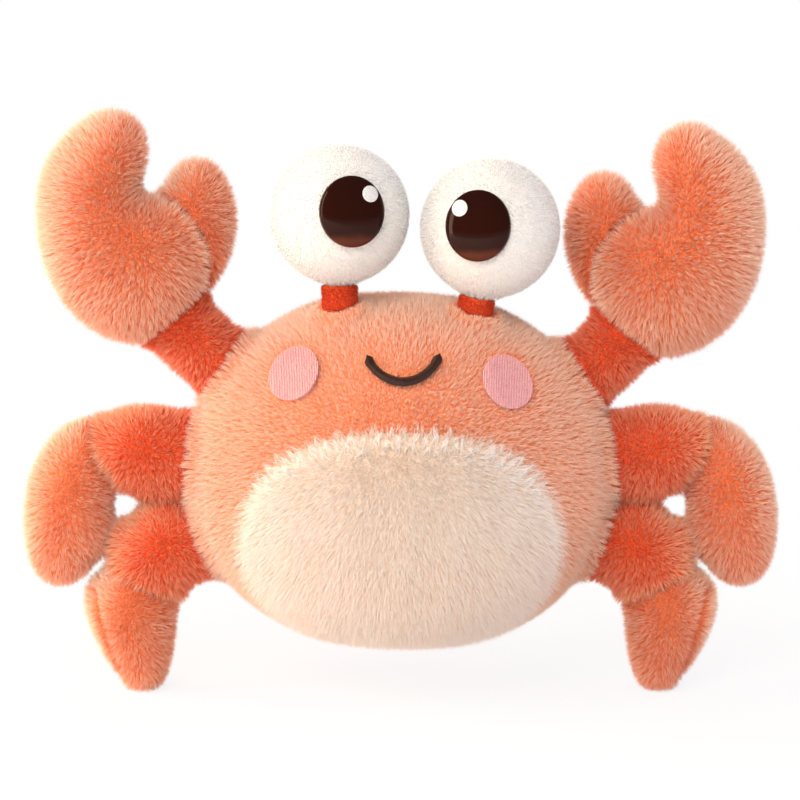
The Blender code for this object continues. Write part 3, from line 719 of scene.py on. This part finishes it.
def buildStitchTree():
    tree, add, given = newTree("satinStitches", {
        "Stitch lines": "Geometry", "Thread": "Float", "Arch": "Float", "Finish": "Material"}, "Stitches")
    curve = add("GeometryNodeMeshToCurve", {0: given["Stitch lines"]}, 0)
    curve = add("GeometryNodeResampleCurve", {"Curve": curve, "Count": 6}, 0, mode="COUNT")
    along = add("GeometryNodeSplineParameter", out="Factor")
    turn = add("ShaderNodeMath", {0: along, 1: math.pi}, 0, operation="MULTIPLY")
    arch = add("ShaderNodeMath", {0: turn}, 0, operation="SINE")
    rise = add("ShaderNodeMath", {0: arch, 1: given["Arch"]}, 0, operation="MULTIPLY")
    up = add("GeometryNodeInputNamedAttribute", {"Name": "outward"}, 0, data_type="FLOAT_VECTOR")
    shift = add("ShaderNodeVectorMath", {0: up, "Scale": rise}, 0, operation="SCALE")
    curve = add("GeometryNodeSetPosition", {"Geometry": curve, "Offset": shift}, 0)
    ring = add("GeometryNodeCurvePrimitiveCircle", {"Resolution": 6, "Radius": given["Thread"]}, 0,
               mode="RADIUS")
    mesh = add("GeometryNodeCurveToMesh", {"Curve": curve, "Profile Curve": ring, "Fill Caps": True}, 0)
    mesh = add("GeometryNodeSetShadeSmooth", {"Geometry": mesh}, 0)
    mesh = add("GeometryNodeRealizeInstances", {"Geometry": mesh}, 0)
    mesh = add("GeometryNodeSetMaterial", {"Geometry": mesh, "Material": given["Finish"]}, 0)
    add("NodeGroupOutput", {0: mesh})
    return tree


stitchTree = buildStitchTree()


def frontHit(x, z):
    # point and outward normal of the CAD body, seen from the front
    hit, normal = cadBodyTree.ray_cast(Vector((x, -0.3, z)), Vector((0.0, 1.0, 0.0)))[:2]
    return hit, -normal if normal.y > 0 else normal


def sew(name, stitches, thread, arch, finish):
    # stitches: pairs of points (x, z) seen from the front, with a height over the body each
    bm = bmesh.new()
    outward = bm.verts.layers.float_vector.new("outward")
    for start, end, lift in stitches:
        hit, normal = frontHit((start[0] + end[0]) / 2, (start[1] + end[1]) / 2)
        ends = []
        for x, z in (start, end):
            y = hit.y - (normal.x * (x - hit.x) + normal.z * (z - hit.z)) / normal.y
            vertex = bm.verts.new(Vector((x, y, z)) + normal * lift)
            vertex[outward] = normal
            ends.append(vertex)
        bm.edges.new(ends)
    obj = meshObject(name, bm)
    setInputs(obj.modifiers.new("stitches", "NODES"), stitchTree, {"Thread": thread, "Arch": arch,
                                                                   "Finish": finish})
    return applyModifiers(obj)


def addPad(stitched, pad):
    # the pad under some stitches becomes part of their mesh
    bm = bmesh.new()
    bm.from_mesh(stitched.data)
    bm.from_mesh(pad.data)
    bm.to_mesh(stitched.data)
    bm.free()
    bpy.data.objects.remove(pad)
    return stitched


smileSewing = {"spacing": 0.44, "thread": 0.28, "arch": 1.5, "lift": -0.2}
cheekSewing = {"spacing": 0.66, "thread": 0.3, "longest": 3.6, "arch": 0.12, "lift": 0.0}
rng = np.random.default_rng(11)


def smileStitches():
    radius, band = smileBand["radius"] * mm, smileBand["band"] * mm
    half = math.radians(smileBand["halfAngle"])
    x0, z0 = smileMiddle
    overrun = band / 2 / radius
    count = int(2 * (half + overrun) * radius / (smileSewing["spacing"] * mm))
    stitches = []
    for i in range(count + 1):
        angle = (half + overrun) * (2 * i / count - 1)
        past = max(0.0, abs(angle) - half) * radius
        wide = band / 2 * math.sqrt(max(0.06, 1 - (past / (band / 2)) ** 2))
        wide *= 1.0 + 0.2 * smoothStep(abs(angle), half - 0.14, half)      # small knob at each end
        ends = []
        for reach in (radius - wide, radius + wide):
            wobble = rng.uniform(-0.08, 0.08) * mm
            lean = angle + 0.035
            ends.append((x0 + (reach + wobble) * math.sin(lean if reach > radius else angle),
                         z0 - (reach + wobble) * math.cos(lean if reach > radius else angle)))
        stitches.append((ends[0], ends[1], smileSewing["lift"] * mm))
    return stitches


def cheekStitches(side):
    x0, z0 = cheekPlace(side)
    slant = -side * math.radians(cheekOval["slant"])
    long, short = cheekOval["long"] / 2 * mm, cheekOval["short"] / 2 * mm
    reachX = math.hypot(long * math.cos(slant), short * math.sin(slant))
    step = cheekSewing["spacing"] * mm
    columns = int(2 * reachX / step)
    stitches = []
    for i in range(columns + 1):
        x = -reachX + (i + 0.5) * 2 * reachX / (columns + 1)
        # ends of this column on the slanted oval
        a = (math.sin(slant) / long) ** 2 + (math.cos(slant) / short) ** 2
        b = 2 * x * math.sin(slant) * math.cos(slant) * (1 / long ** 2 - 1 / short ** 2)
        c = (x * math.cos(slant) / long) ** 2 + (x * math.sin(slant) / short) ** 2 - 1
        root = b * b - 4 * a * c
        if root <= 0:
            continue
        low, high = (-b - math.sqrt(root)) / (2 * a), (-b + math.sqrt(root)) / (2 * a)
        parts = max(1, round((high - low) / (cheekSewing["longest"] * mm)))
        marks = [low + (high - low) * (k + rng.uniform(-0.3, 0.3)) / parts for k in range(1, parts)]
        marks = [low, *marks, high]
        for start, end in zip(marks, marks[1:]):
            sway = rng.uniform(-0.06, 0.06) * mm
            lift = (cheekSewing["lift"] + rng.uniform(-0.05, 0.05)) * mm
            stitches.append(((x0 + x + sway, z0 + start), (x0 + x - sway, z0 + end), lift))
    return stitches


def ribbonPad(name, material, lift, thick):
    # closed strip under the smile's stitches, a little narrower than they are
    (x0, z0), half = smileMiddle, math.radians(smileBand["halfAngle"])
    radius, wide = smileBand["radius"] * mm, (smileBand["band"] - 0.4) / 2 * mm
    bm = bmesh.new()
    sections = []
    for i in range(25):
        angle = half * (i / 12 - 1)
        outer, inner = [frontHit(x0 + reach * math.sin(angle), z0 - reach * math.cos(angle))[0]
                        for reach in (radius + wide, radius - wide)]
        front, back = Vector((0.0, -lift, 0.0)), Vector((0.0, thick - lift, 0.0))
        sections.append([bm.verts.new(p) for p in (outer + front, outer + back, inner + back,
                                                   inner + front)])
    for low, high in zip(sections, sections[1:]):
        for k in range(4):
            bm.faces.new((low[k], low[k - 3], high[k - 3], high[k]))
    bm.faces.new(sections[0])
    bm.faces.new(sections[-1])
    bmesh.ops.recalc_face_normals(bm, faces=bm.faces)
    return meshObject(name, bm, material)


smile = sew("smileStitches", smileStitches(), smileSewing["thread"] * mm, smileSewing["arch"] * mm,
            brownThread)
addPad(smile, ribbonPad("smilePad", brownThread, -0.4 * mm, 3.0 * mm))
cheeks = {}
for word, side in (("left", -1), ("right", 1)):
    stitched = sew(f"cheekStitches_{word}", cheekStitches(side), cheekSewing["thread"] * mm,
                   cheekSewing["arch"] * mm, pinkThread)
    x, z = cheekPlace(side)
    slanted = ovalOutline((cheekOval["long"] - 0.9) * mm, (cheekOval["short"] - 0.9) * mm, 2.0,
                          cheekOval["spokes"], -side * math.radians(cheekOval["slant"]))
    pad = patch(f"cheekPad_{word}", slanted, cheekOval["rings"], Matrix.Translation((x, 0.0, z)),
                cadBodyTree, -0.45 * mm, 2.6 * mm, pinkThread)
    cheeks[word] = addPad(stitched, pad)
print("belly and embroidery made")

# eyes

safetyEye = {"ball": 27.5, "skinDepth": 0.8, "width": 25.2, "height": 27.4, "rim": 1.6, "dome": 4.2,
             "clearance": 0.2, "inward": 12.5, "upward": 6.5, "spokes": 72, "rings": 16, "glint": 3.2,
             "glintOut": 6.7, "glintUp": 6.5}


def ballCentre(node):
    # middle of the sphere through the back half of an eye ball's CAD points
    points = np.array([v.co[:] for v in nodes[node].data.vertices])
    low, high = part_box(node)
    back = points[points[:, 1] > (low.y + high.y) / 2 + 2 * mm]
    system = np.hstack([2 * back, np.ones((len(back), 1))])
    return Vector(np.linalg.lstsq(system, (back ** 2).sum(axis=1), rcond=None)[0][:3])


def lathe(name, rings, capPoint, material):
    # closed stack of rings of points, last ring drawn in to a cap point
    bm = bmesh.new()
    loops = [[bm.verts.new(p) for p in ring] for ring in rings]
    count = len(loops[0])
    for low, high in zip(loops, loops[1:]):
        for i in range(count):
            j = (i + 1) % count
            bm.faces.new((low[i], low[j], high[j], high[i]))
    bm.faces.new(list(reversed(loops[0])))
    cap = bm.verts.new(capPoint)
    for i in range(count):
        bm.faces.new((loops[-1][i], loops[-1][(i + 1) % count], cap))
    bmesh.ops.recalc_face_normals(bm, faces=bm.faces)
    obj = meshObject(name, bm, material)
    for face in obj.data.polygons:
        face.use_smooth = len(face.vertices) < 5
    return obj


def domeHeight(share):
    # height over the rim of the dome's skin at a share of its radius
    return (safetyEye["rim"] + safetyEye["dome"] * math.sqrt(max(0.0, 1 - share * share))) * mm


def makeEye(word, side):
    eye = safetyEye
    centre = ballCentre(f"eyeball_{word}")
    look = Matrix.Rotation(side * math.radians(eye["inward"]), 4, "Z")
    look @= Matrix.Rotation(-math.radians(eye["upward"]), 4, "X")
    place = Matrix.Translation(centre) @ look
    seat = (math.sqrt(eye["ball"] ** 2 - (eye["height"] / 2) ** 2) - eye["clearance"]) * mm

    # stuffed ball, a little flattened where the eye is locked on
    bm = bmesh.new()
    bmesh.ops.create_icosphere(bm, subdivisions=4, radius=1.0)
    reach = (eye["ball"] - eye["skinDepth"]) * mm
    ahead = (look.to_3x3() @ Vector((0.0, -1.0, 0.0))).normalized()
    for vertex in bm.verts:
        out = vertex.co.normalized()
        face = out.dot(ahead)
        limit = (seat + 1.2 * mm) / max(face, 0.01)
        vertex.co = centre + out * min(reach, limit)
    ball = meshObject(f"eyeSkin_{word}", bm, whiteBacking)
    ball.data.shade_smooth()

    # oval dome with a rounded rim edge
    rings = []
    heights = [(-0.5 * mm, 1.0), (eye["rim"] * mm * 0.5, 1.0)]
    for i in range(eye["rings"]):
        share = math.cos(math.pi / 2 * (i + 0.35) / (eye["rings"] + 0.35))
        heights.append((domeHeight(share), share))
    for height, share in heights:
        outline = ovalOutline(share * eye["width"] * mm, share * eye["height"] * mm, 2.0, eye["spokes"])
        rings.append([place @ Vector((across, -seat - height, up)) for across, up in outline])
    cap = place @ Vector((0.0, -seat - domeHeight(0.0), 0.0))
    low, high = centre.z - eye["height"] / 2 * mm, centre.z + eye["height"] / 2 * mm
    plastic = pupilMaterial(f"brownMouldedPlastic_{word}", low, high)
    pupil = lathe(f"pupil_{word}_dome", rings, cap, plastic)

    # printed highlight that follows the dome
    rings = []
    middle = Vector((side * eye["glintOut"] * mm, 0.0, eye["glintUp"] * mm))
    halfWide, halfTall = eye["width"] / 2 * mm, eye["height"] / 2 * mm

    def onDome(across, up, lift):
        share = math.hypot(across / halfWide, up / halfTall)
        return place @ Vector((across, -seat - domeHeight(share) - lift, up))

    for reach, lift in ((1.0, -0.3 * mm), (1.0, 0.05 * mm), (0.94, 0.14 * mm), (0.6, 0.17 * mm),
                        (0.3, 0.18 * mm)):
        ring = []
        for i in range(36):
            turn = 2 * math.pi * i / 36
            across = middle.x + eye["glint"] * mm * reach * math.cos(turn)
            up = middle.z + eye["glint"] * mm * reach * math.sin(turn)
            ring.append(onDome(across, up, lift))
        rings.append(ring)
    glint = lathe(f"glint_{word}_print", rings, onDome(middle.x, middle.z, 0.18 * mm), whitePaint)
    return ball, pupil, glint, centre, ahead


eyes = {"left": makeEye("left", 1), "right": makeEye("right", -1)}
print("eyes made")

# comb, tone and growth


def combOf(points, normals, centre, droop):
    # hairs lean away from the pocket's middle as seen from the front, and droop a little
    away = points - centre
    away[:, 1] *= 0.25
    away /= np.linalg.norm(away, axis=1).max()
    away[:, 2] -= droop
    return away - normals * (away * normals).sum(axis=1)[:, None]


def layPile(name, skin, look, material, seed, near=None, over=None, overhang=0.6, tone=0.2, mask=None,
            centre=None, droop=0.15, length=None):
    mesh = skin.data
    points, normals = readPoints(mesh), readNormals(mesh)
    density = np.ones(len(points))
    if near:
        gap = distances(points, near)
        density *= 1.0 - hiddenShare(points, normals, near, gap)
        shorter = 0.7 + 0.3 * smoothStep(gap, 0.6 * mm, 4.0 * mm)
        length = shorter if length is None else length * shorter
    if over:
        # the pile of the pocket in front falls over the seam in longer tufts
        length = length * (1.0 + overhang * (1.0 - smoothStep(distances(points, over), 1.5 * mm, 5.0 * mm)))
    if mask is not None:
        density *= mask
    middle = np.array(centre) if centre is not None else (points.min(axis=0) + points.max(axis=0)) / 2
    for key, kind, values in (
        ("pileDensity", "FLOAT", density),
        ("pileLength", "FLOAT", np.ones(len(points)) if length is None else length),
        ("pileTone", "FLOAT", np.zeros(len(points)) + tone),
        ("pileComb", "FLOAT_VECTOR", combOf(points, normals, middle, droop)),
    ):
        addAttribute(mesh, key, kind, values)
    pile = growPile(name, skin, look, material, seed)
    print(f"{name}: {len(pile.data.polygons)} faces")
    return pile


def isUncovered(point):
    # true where the body's own pile grows: clear of the panel, the cheeks and the smile
    cheek = min(cheekShare(point, -1), cheekShare(point, 1))
    return bellyShare(point) > 0.985 and cheek > 0.93 and smileDistance(point) > 0.1 * mm


pieces = []
seed = 100
bodySkin = pockets["body"]["object"]
bodyPoints = readPoints(bodySkin.data)
uncovered = np.array([isUncovered(p) for p in bodyPoints], float)
stalkNear = distances(bodyPoints, treeOf(["eye_stalk_left", "eye_stalk_right"]))
sewnNear = distances(bodyPoints, treeOf(["smile", "cheek_left", "cheek_right"]))
bodyLength = 0.5 + 0.5 * smoothStep(stalkNear, 1 * mm, 6 * mm)
bodyLength *= 0.75 + 0.25 * smoothStep(sewnNear, 3 * mm, 8 * mm)
# body pile tone: paler in the middle and darker towards both sides, and painted shade darkens it further
# towards the right side
bodyTone = 0.43 - 0.25 * smoothStep(np.abs(bodyPoints[:, 0]), 25 * mm, 85 * mm)
bodyTone -= 0.2 * smoothStep(bodyPoints[:, 0], 20 * mm, 80 * mm)
frontShare = 1.0 - smoothStep(bodyPoints[:, 1], -2 * mm, 2 * mm)
bodyNear = treeOf(pockets["body"]["near"])
limbRoots = treeOf([node for node in pockets["body"]["near"] if not node.startswith("eye")])
for half, share in (("front", frontShare), ("back", 1.0 - frontShare)):
    look = dict(bodyPile)
    if half == "back":
        look["perSquareMm"] *= 0.7
    working = linkMesh("bodyHalf", bodySkin.data.copy())
    pile = layPile(f"bodyPile_{half}", working, look, peachPile, seed, near=bodyNear, over=limbRoots,
                   tone=bodyTone, mask=uncovered * share, centre=(0.0, 0.0, 0.095), length=bodyLength)
    bpy.data.objects.remove(working)
    pieces.append((pile, None, "orange_plush", None))
    seed += 1
pieces.append((bodySkin, ["body"], "orange_plush", 0.9))

bellyPoints = readPoints(belly.data)
bellyNormals = readNormals(belly.data)
ahead = np.array((bellyFrame.to_3x3() @ Vector((0.0, -1.0, 0.0)))[:])
outside = ((bellyNormals * ahead).sum(axis=1) > 0.05).astype(float)
brim = smoothStep(np.array([bellyShare(p) for p in bellyPoints]), 0.9, 0.98)
brim *= outside * smoothStep(bellyPoints[:, 2], 80 * mm, 95 * mm)
# painted shade: the belly's pile is darker towards the bottom
bellyTone = 0.1 + 0.35 * smoothStep(bellyPoints[:, 2], 45 * mm, 95 * mm)
pile = layPile("bellyPile", belly, bellyPile, creamPile, seed, tone=bellyTone,
               mask=outside * (1.0 - 0.7 * brim), centre=(0.0, -0.06, 0.1), droop=0.25)
pieces += [(pile, None, "cream_plush", None), (belly, ["belly_panel"], "cream_plush", 0.8)]

# along the panel's upper edge the cream pile stands up in longer tufts over the orange
working = linkMesh("bellyEdge", belly.data.copy())
for attribute in ("pileDensity", "pileLength", "pileTone", "pileComb"):
    working.data.attributes.remove(working.data.attributes[attribute])
pile = layPile("bellyFringe", working, fringePile, creamPile, seed + 50, tone=0.8, mask=brim,
               centre=(0.0, -0.06, 0.06), droop=-0.2)
bpy.data.objects.remove(working)
pieces.append((pile, None, "cream_plush", None))

# how much painted shade darkens the pile deep in a seam, how much a painted highlight pales the rim over it,
# and their reach in mm
seamTone = {"paintedShade": 0.45, "rim": 0.28, "reach": 8.0}
sideSeam = {"turn": 0.62, "bow": 0.3, "spread": 0.08, "groove": 2.0, "shorter": 0.75, "darker": 0.9,
            "thinner": 0.5}
rightPaintedShade = 0.6     # painted shade: the right side's pile is painted less pale


def sinkSideSeam(skin, middle, top):
    # a groove down the front panel's outer edge, and how deep in it each point lies
    points, normals = readPoints(skin.data), readNormals(skin.data)
    height = (points[:, 2] - middle.z) / (top - middle.z)
    turned = normals[:, 0] * math.copysign(1.0, middle.x)
    turned -= sideSeam["turn"] + sideSeam["bow"] * height ** 2
    seam = np.exp(-(turned / sideSeam["spread"]) ** 2)
    seam *= normals[:, 1] < 0
    writePoints(skin.data, points - normals * (seam * sideSeam["groove"] * mm)[:, None])
    return seam


def nearShare(points, tree):
    return 1.0 - smoothStep(distances(points, tree), 1.0 * mm, seamTone["reach"] * mm)


for name, pocket in pockets.items():
    if name == "body":
        continue
    seed += 1
    skin = pocket["object"]
    lowerShin = name.startswith("shin_lower")
    if lowerShin:
        finer = skin.modifiers.new("finer", "SUBSURF")
        finer.levels = finer.render_levels = 2
        applyModifiers(skin)
    low, high = (Vector(corner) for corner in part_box(pocket["nodes"][0]))
    middle = (low + high) / 2
    # painted light: each limb's pile is painted paler at its outer end and on the side facing outward, and
    # darker on the side turned in
    outward = np.array((math.copysign(0.85, middle.x), 0.0, 0.5))
    points, normals = readPoints(skin.data), readNormals(skin.data)
    reach = (points - np.array(middle[:])) @ outward
    reach = 0.5 * reach / np.abs(reach).max() + 0.6 * normals @ outward
    inner, outer = pocket["tone"]
    # painted shade: limbs on the right side get less of the paler tone
    if middle.x > 0:
        outer *= rightPaintedShade
    tone = inner + (outer - inner) * smoothStep(reach, 0.0, 0.95)
    if name.startswith("palm"):
        middle += Vector((-math.copysign(11 * mm, middle.x), 0.0, -4 * mm))
    length = sparse = None
    if lowerShin:
        seam = sinkSideSeam(skin, middle, high.z)
        length = 1.0 - sideSeam["shorter"] * seam
        # painted shade darkens the pile in the side seam's groove
        tone = tone - sideSeam["darker"] * seam
        sparse = 1.0 - sideSeam["thinner"] * seam
    if "under" in pocket:
        # painted shade: pile darkened near the pocket that it is tucked under
        tone = tone - seamTone["paintedShade"] * nearShare(points, treeOf(pocket["under"]))
    over = treeOf(pocket["over"]) if "over" in pocket else None
    if over:
        # painted highlight: pile paler along the rim that lies over another pocket
        tone = tone + seamTone["rim"] * nearShare(points, over)
    pile = layPile(f"{name}_pile", skin, pocket["look"], pocket["pile"], seed, near=treeOf(pocket["near"]),
                   over=over, overhang=pocket.get("overhang"), tone=tone, mask=sparse, centre=middle[:],
                   droop=1.5 if name.startswith("eye_stalk") else 0.15, length=length)
    if lowerShin:
        # the pile under a sole is pressed flat by the floor
        standing = readPoints(pile.data)
        standing[:, 2] = np.maximum(standing[:, 2], 0.05 * mm)
        writePoints(pile.data, standing)
    pieces += [(pile, None, pocket["slot"], None), (skin, pocket["nodes"], pocket["slot"], pocket["fill"])]

for word, (ball, pupil, glint, centre, ahead) in eyes.items():
    seed += 1
    points = readPoints(ball.data)
    out = points - np.array(centre[:])
    out /= np.linalg.norm(out, axis=1)[:, None]
    facing = (out * np.array(ahead[:])).sum(axis=1)
    clear = (facing < 0.885).astype(float)
    stalkTop = distances(points, treeOf([f"eye_stalk_{word}"]))
    length = 1.0 + 1.0 * (1.0 - smoothStep(stalkTop, 0.5 * mm, 2.5 * mm))
    pile = layPile(f"eyePile_{word}", ball, ballPile, whitePile, seed, tone=0.3, mask=clear,
                   centre=centre[:], droop=0.5, length=length)
    pieces += [(pile, None, "white_plush", None), (ball, [f"eyeball_{word}"], "white_plush", 1.0),
               (pupil, [f"pupil_{word}"], "brown_plastic", None),
               (glint, [f"glint_{word}"], "white_paint", None),
               (cheeks[word], [f"cheek_{word}"], "pink_thread", None)]
pieces.append((smile, ["smile"], "brown_thread", None))

# hidden lock washers stay CAD solids, in the same plastic
washerPlastic = pupilMaterial("brownWasherPlastic", 0.0, 1.0)
for word in ("left", "right"):
    for place in nodes[f"eye_washer_{word}"].material_slots:
        place.material = washerPlastic

for obj, replaced, slotName, fill in pieces:
    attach(obj, "root")
    if replaced:
        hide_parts(*replaced)
print("pieces:", len(pieces), "faces:", sum(len(p[0].data.polygons) for p in pieces))

# studio

studio = {"elevation": 8.0, "distance": 1.1, "target": (-0.0002, 0.0, 0.1175), "lens": 123.75,
          "world": 0.53, "mirrored": 0.2, "shadow": 0.14}


def pointAt(obj, target):
    obj.rotation_euler = (Vector(target) - obj.location).to_track_quat("-Z", "Y").to_euler()


def addLamp(name, place, size, power, colour):
    lamp = bpy.data.lights.new(name, "AREA")
    lamp.shape = "RECTANGLE"
    lamp.size, lamp.size_y = size
    lamp.energy = power
    lamp.color = linear(colour)[:3]
    obj = bpy.data.objects.new(name, lamp)
    bpy.context.scene.collection.objects.link(obj)
    obj.location = place
    pointAt(obj, (0.0, 0.0, 0.12))
    return obj


addLamp("leftSoftbox", (-1.6, -0.5, 0.7), (0.6, 1.6), 21.0, "#FFE2C4")
leftRim = addLamp("leftRimSoftbox", (-1.5, 0.45, 0.35), (0.8, 1.2), 28.0, "#FFDCB8")
rightRim = addLamp("rightRimSoftbox", (1.5, 0.3, 0.35), (0.8, 1.2), 6.0, "#B494FF")
frontLamp = addLamp("frontSoftbox", (-0.5, -1.6, 1.2), (1.0, 1.0), 26.5, "#FFF4EA")
for lamp in (leftRim, rightRim, frontLamp):
    lamp.visible_glossy = False     # the polished eyes mirror the left softbox alone

world = bpy.data.worlds.new("paleStudio")
bpy.context.scene.world = world
world.use_nodes = True
world.node_tree.nodes.clear()
add = partial(addNode, world.node_tree)
rays = add("ShaderNodeLightPath").outputs
seen = add("ShaderNodeMath", {0: rays["Is Camera Ray"], 1: rays["Is Transmission Ray"]}, 0,
           operation="MAXIMUM")
level = add("ShaderNodeMapRange", {"Value": rays["Is Glossy Ray"], "To Min": studio["world"],
                                   "To Max": studio["mirrored"]}, "Result")
room = add("ShaderNodeBackground", {"Color": linear("#FFFFFF"), "Strength": level}, 0)
white = add("ShaderNodeBackground", {"Color": linear("#FFFFFF"), "Strength": 1.0}, 0)
blend = add("ShaderNodeMixShader", {0: seen, 1: room, 2: white}, 0)
add("ShaderNodeOutputWorld", {0: blend})

floorMaterial = bpy.data.materials.new("paleFloor")
floorMaterial.use_nodes = True
floorMaterial.node_tree.nodes.clear()
add = partial(addNode, floorMaterial.node_tree)
rays = add("ShaderNodeLightPath").outputs
lit = add("ShaderNodeBsdfDiffuse", {"Color": linear("#FFFFFF")}, 0)
glow = add("ShaderNodeEmission", {"Color": linear("#FFFFFF"), "Strength": 1.0}, 0)
spot = add("ShaderNodeTexCoord", out="Object")
away = add("ShaderNodeVectorMath", {0: spot}, "Value", operation="LENGTH")
plain = add("ShaderNodeMapRange", {"Value": away, "From Min": 0.14, "From Max": 0.32,
                                   "To Min": 1.0 - studio["shadow"], "To Max": 1.0}, "Result")
share = add("ShaderNodeMath", {0: rays["Is Camera Ray"], 1: plain}, 0, operation="MULTIPLY")
blend = add("ShaderNodeMixShader", {0: share, 1: lit, 2: glow}, 0)
add("ShaderNodeOutputMaterial", {0: blend})
floorMesh = bpy.data.meshes.new("floor")
reach = 12.0
floorMesh.from_pydata([(-reach, -reach, 0), (reach, -reach, 0), (reach, reach, 0), (-reach, reach, 0)], [],
                      [(0, 1, 2, 3)])
floorMesh.materials.append(floorMaterial)
floor = linkMesh("floor", floorMesh)

lens = bpy.data.cameras.new("camera")
lens.lens = studio["lens"]
lens.sensor_width = 36.0
lens.clip_end = 50.0
camera = bpy.data.objects.new("camera", lens)
bpy.context.scene.collection.objects.link(camera)
tilt = math.radians(studio["elevation"])
camera.location = Vector(studio["target"]) + studio["distance"] * Vector((0.0, -math.cos(tilt),
                                                                          math.sin(tilt)))
pointAt(camera, studio["target"])
bpy.context.scene.camera = camera
bpy.context.scene.view_settings.view_transform = "Standard"
print("studio set")

bpy.context.view_layer.update()
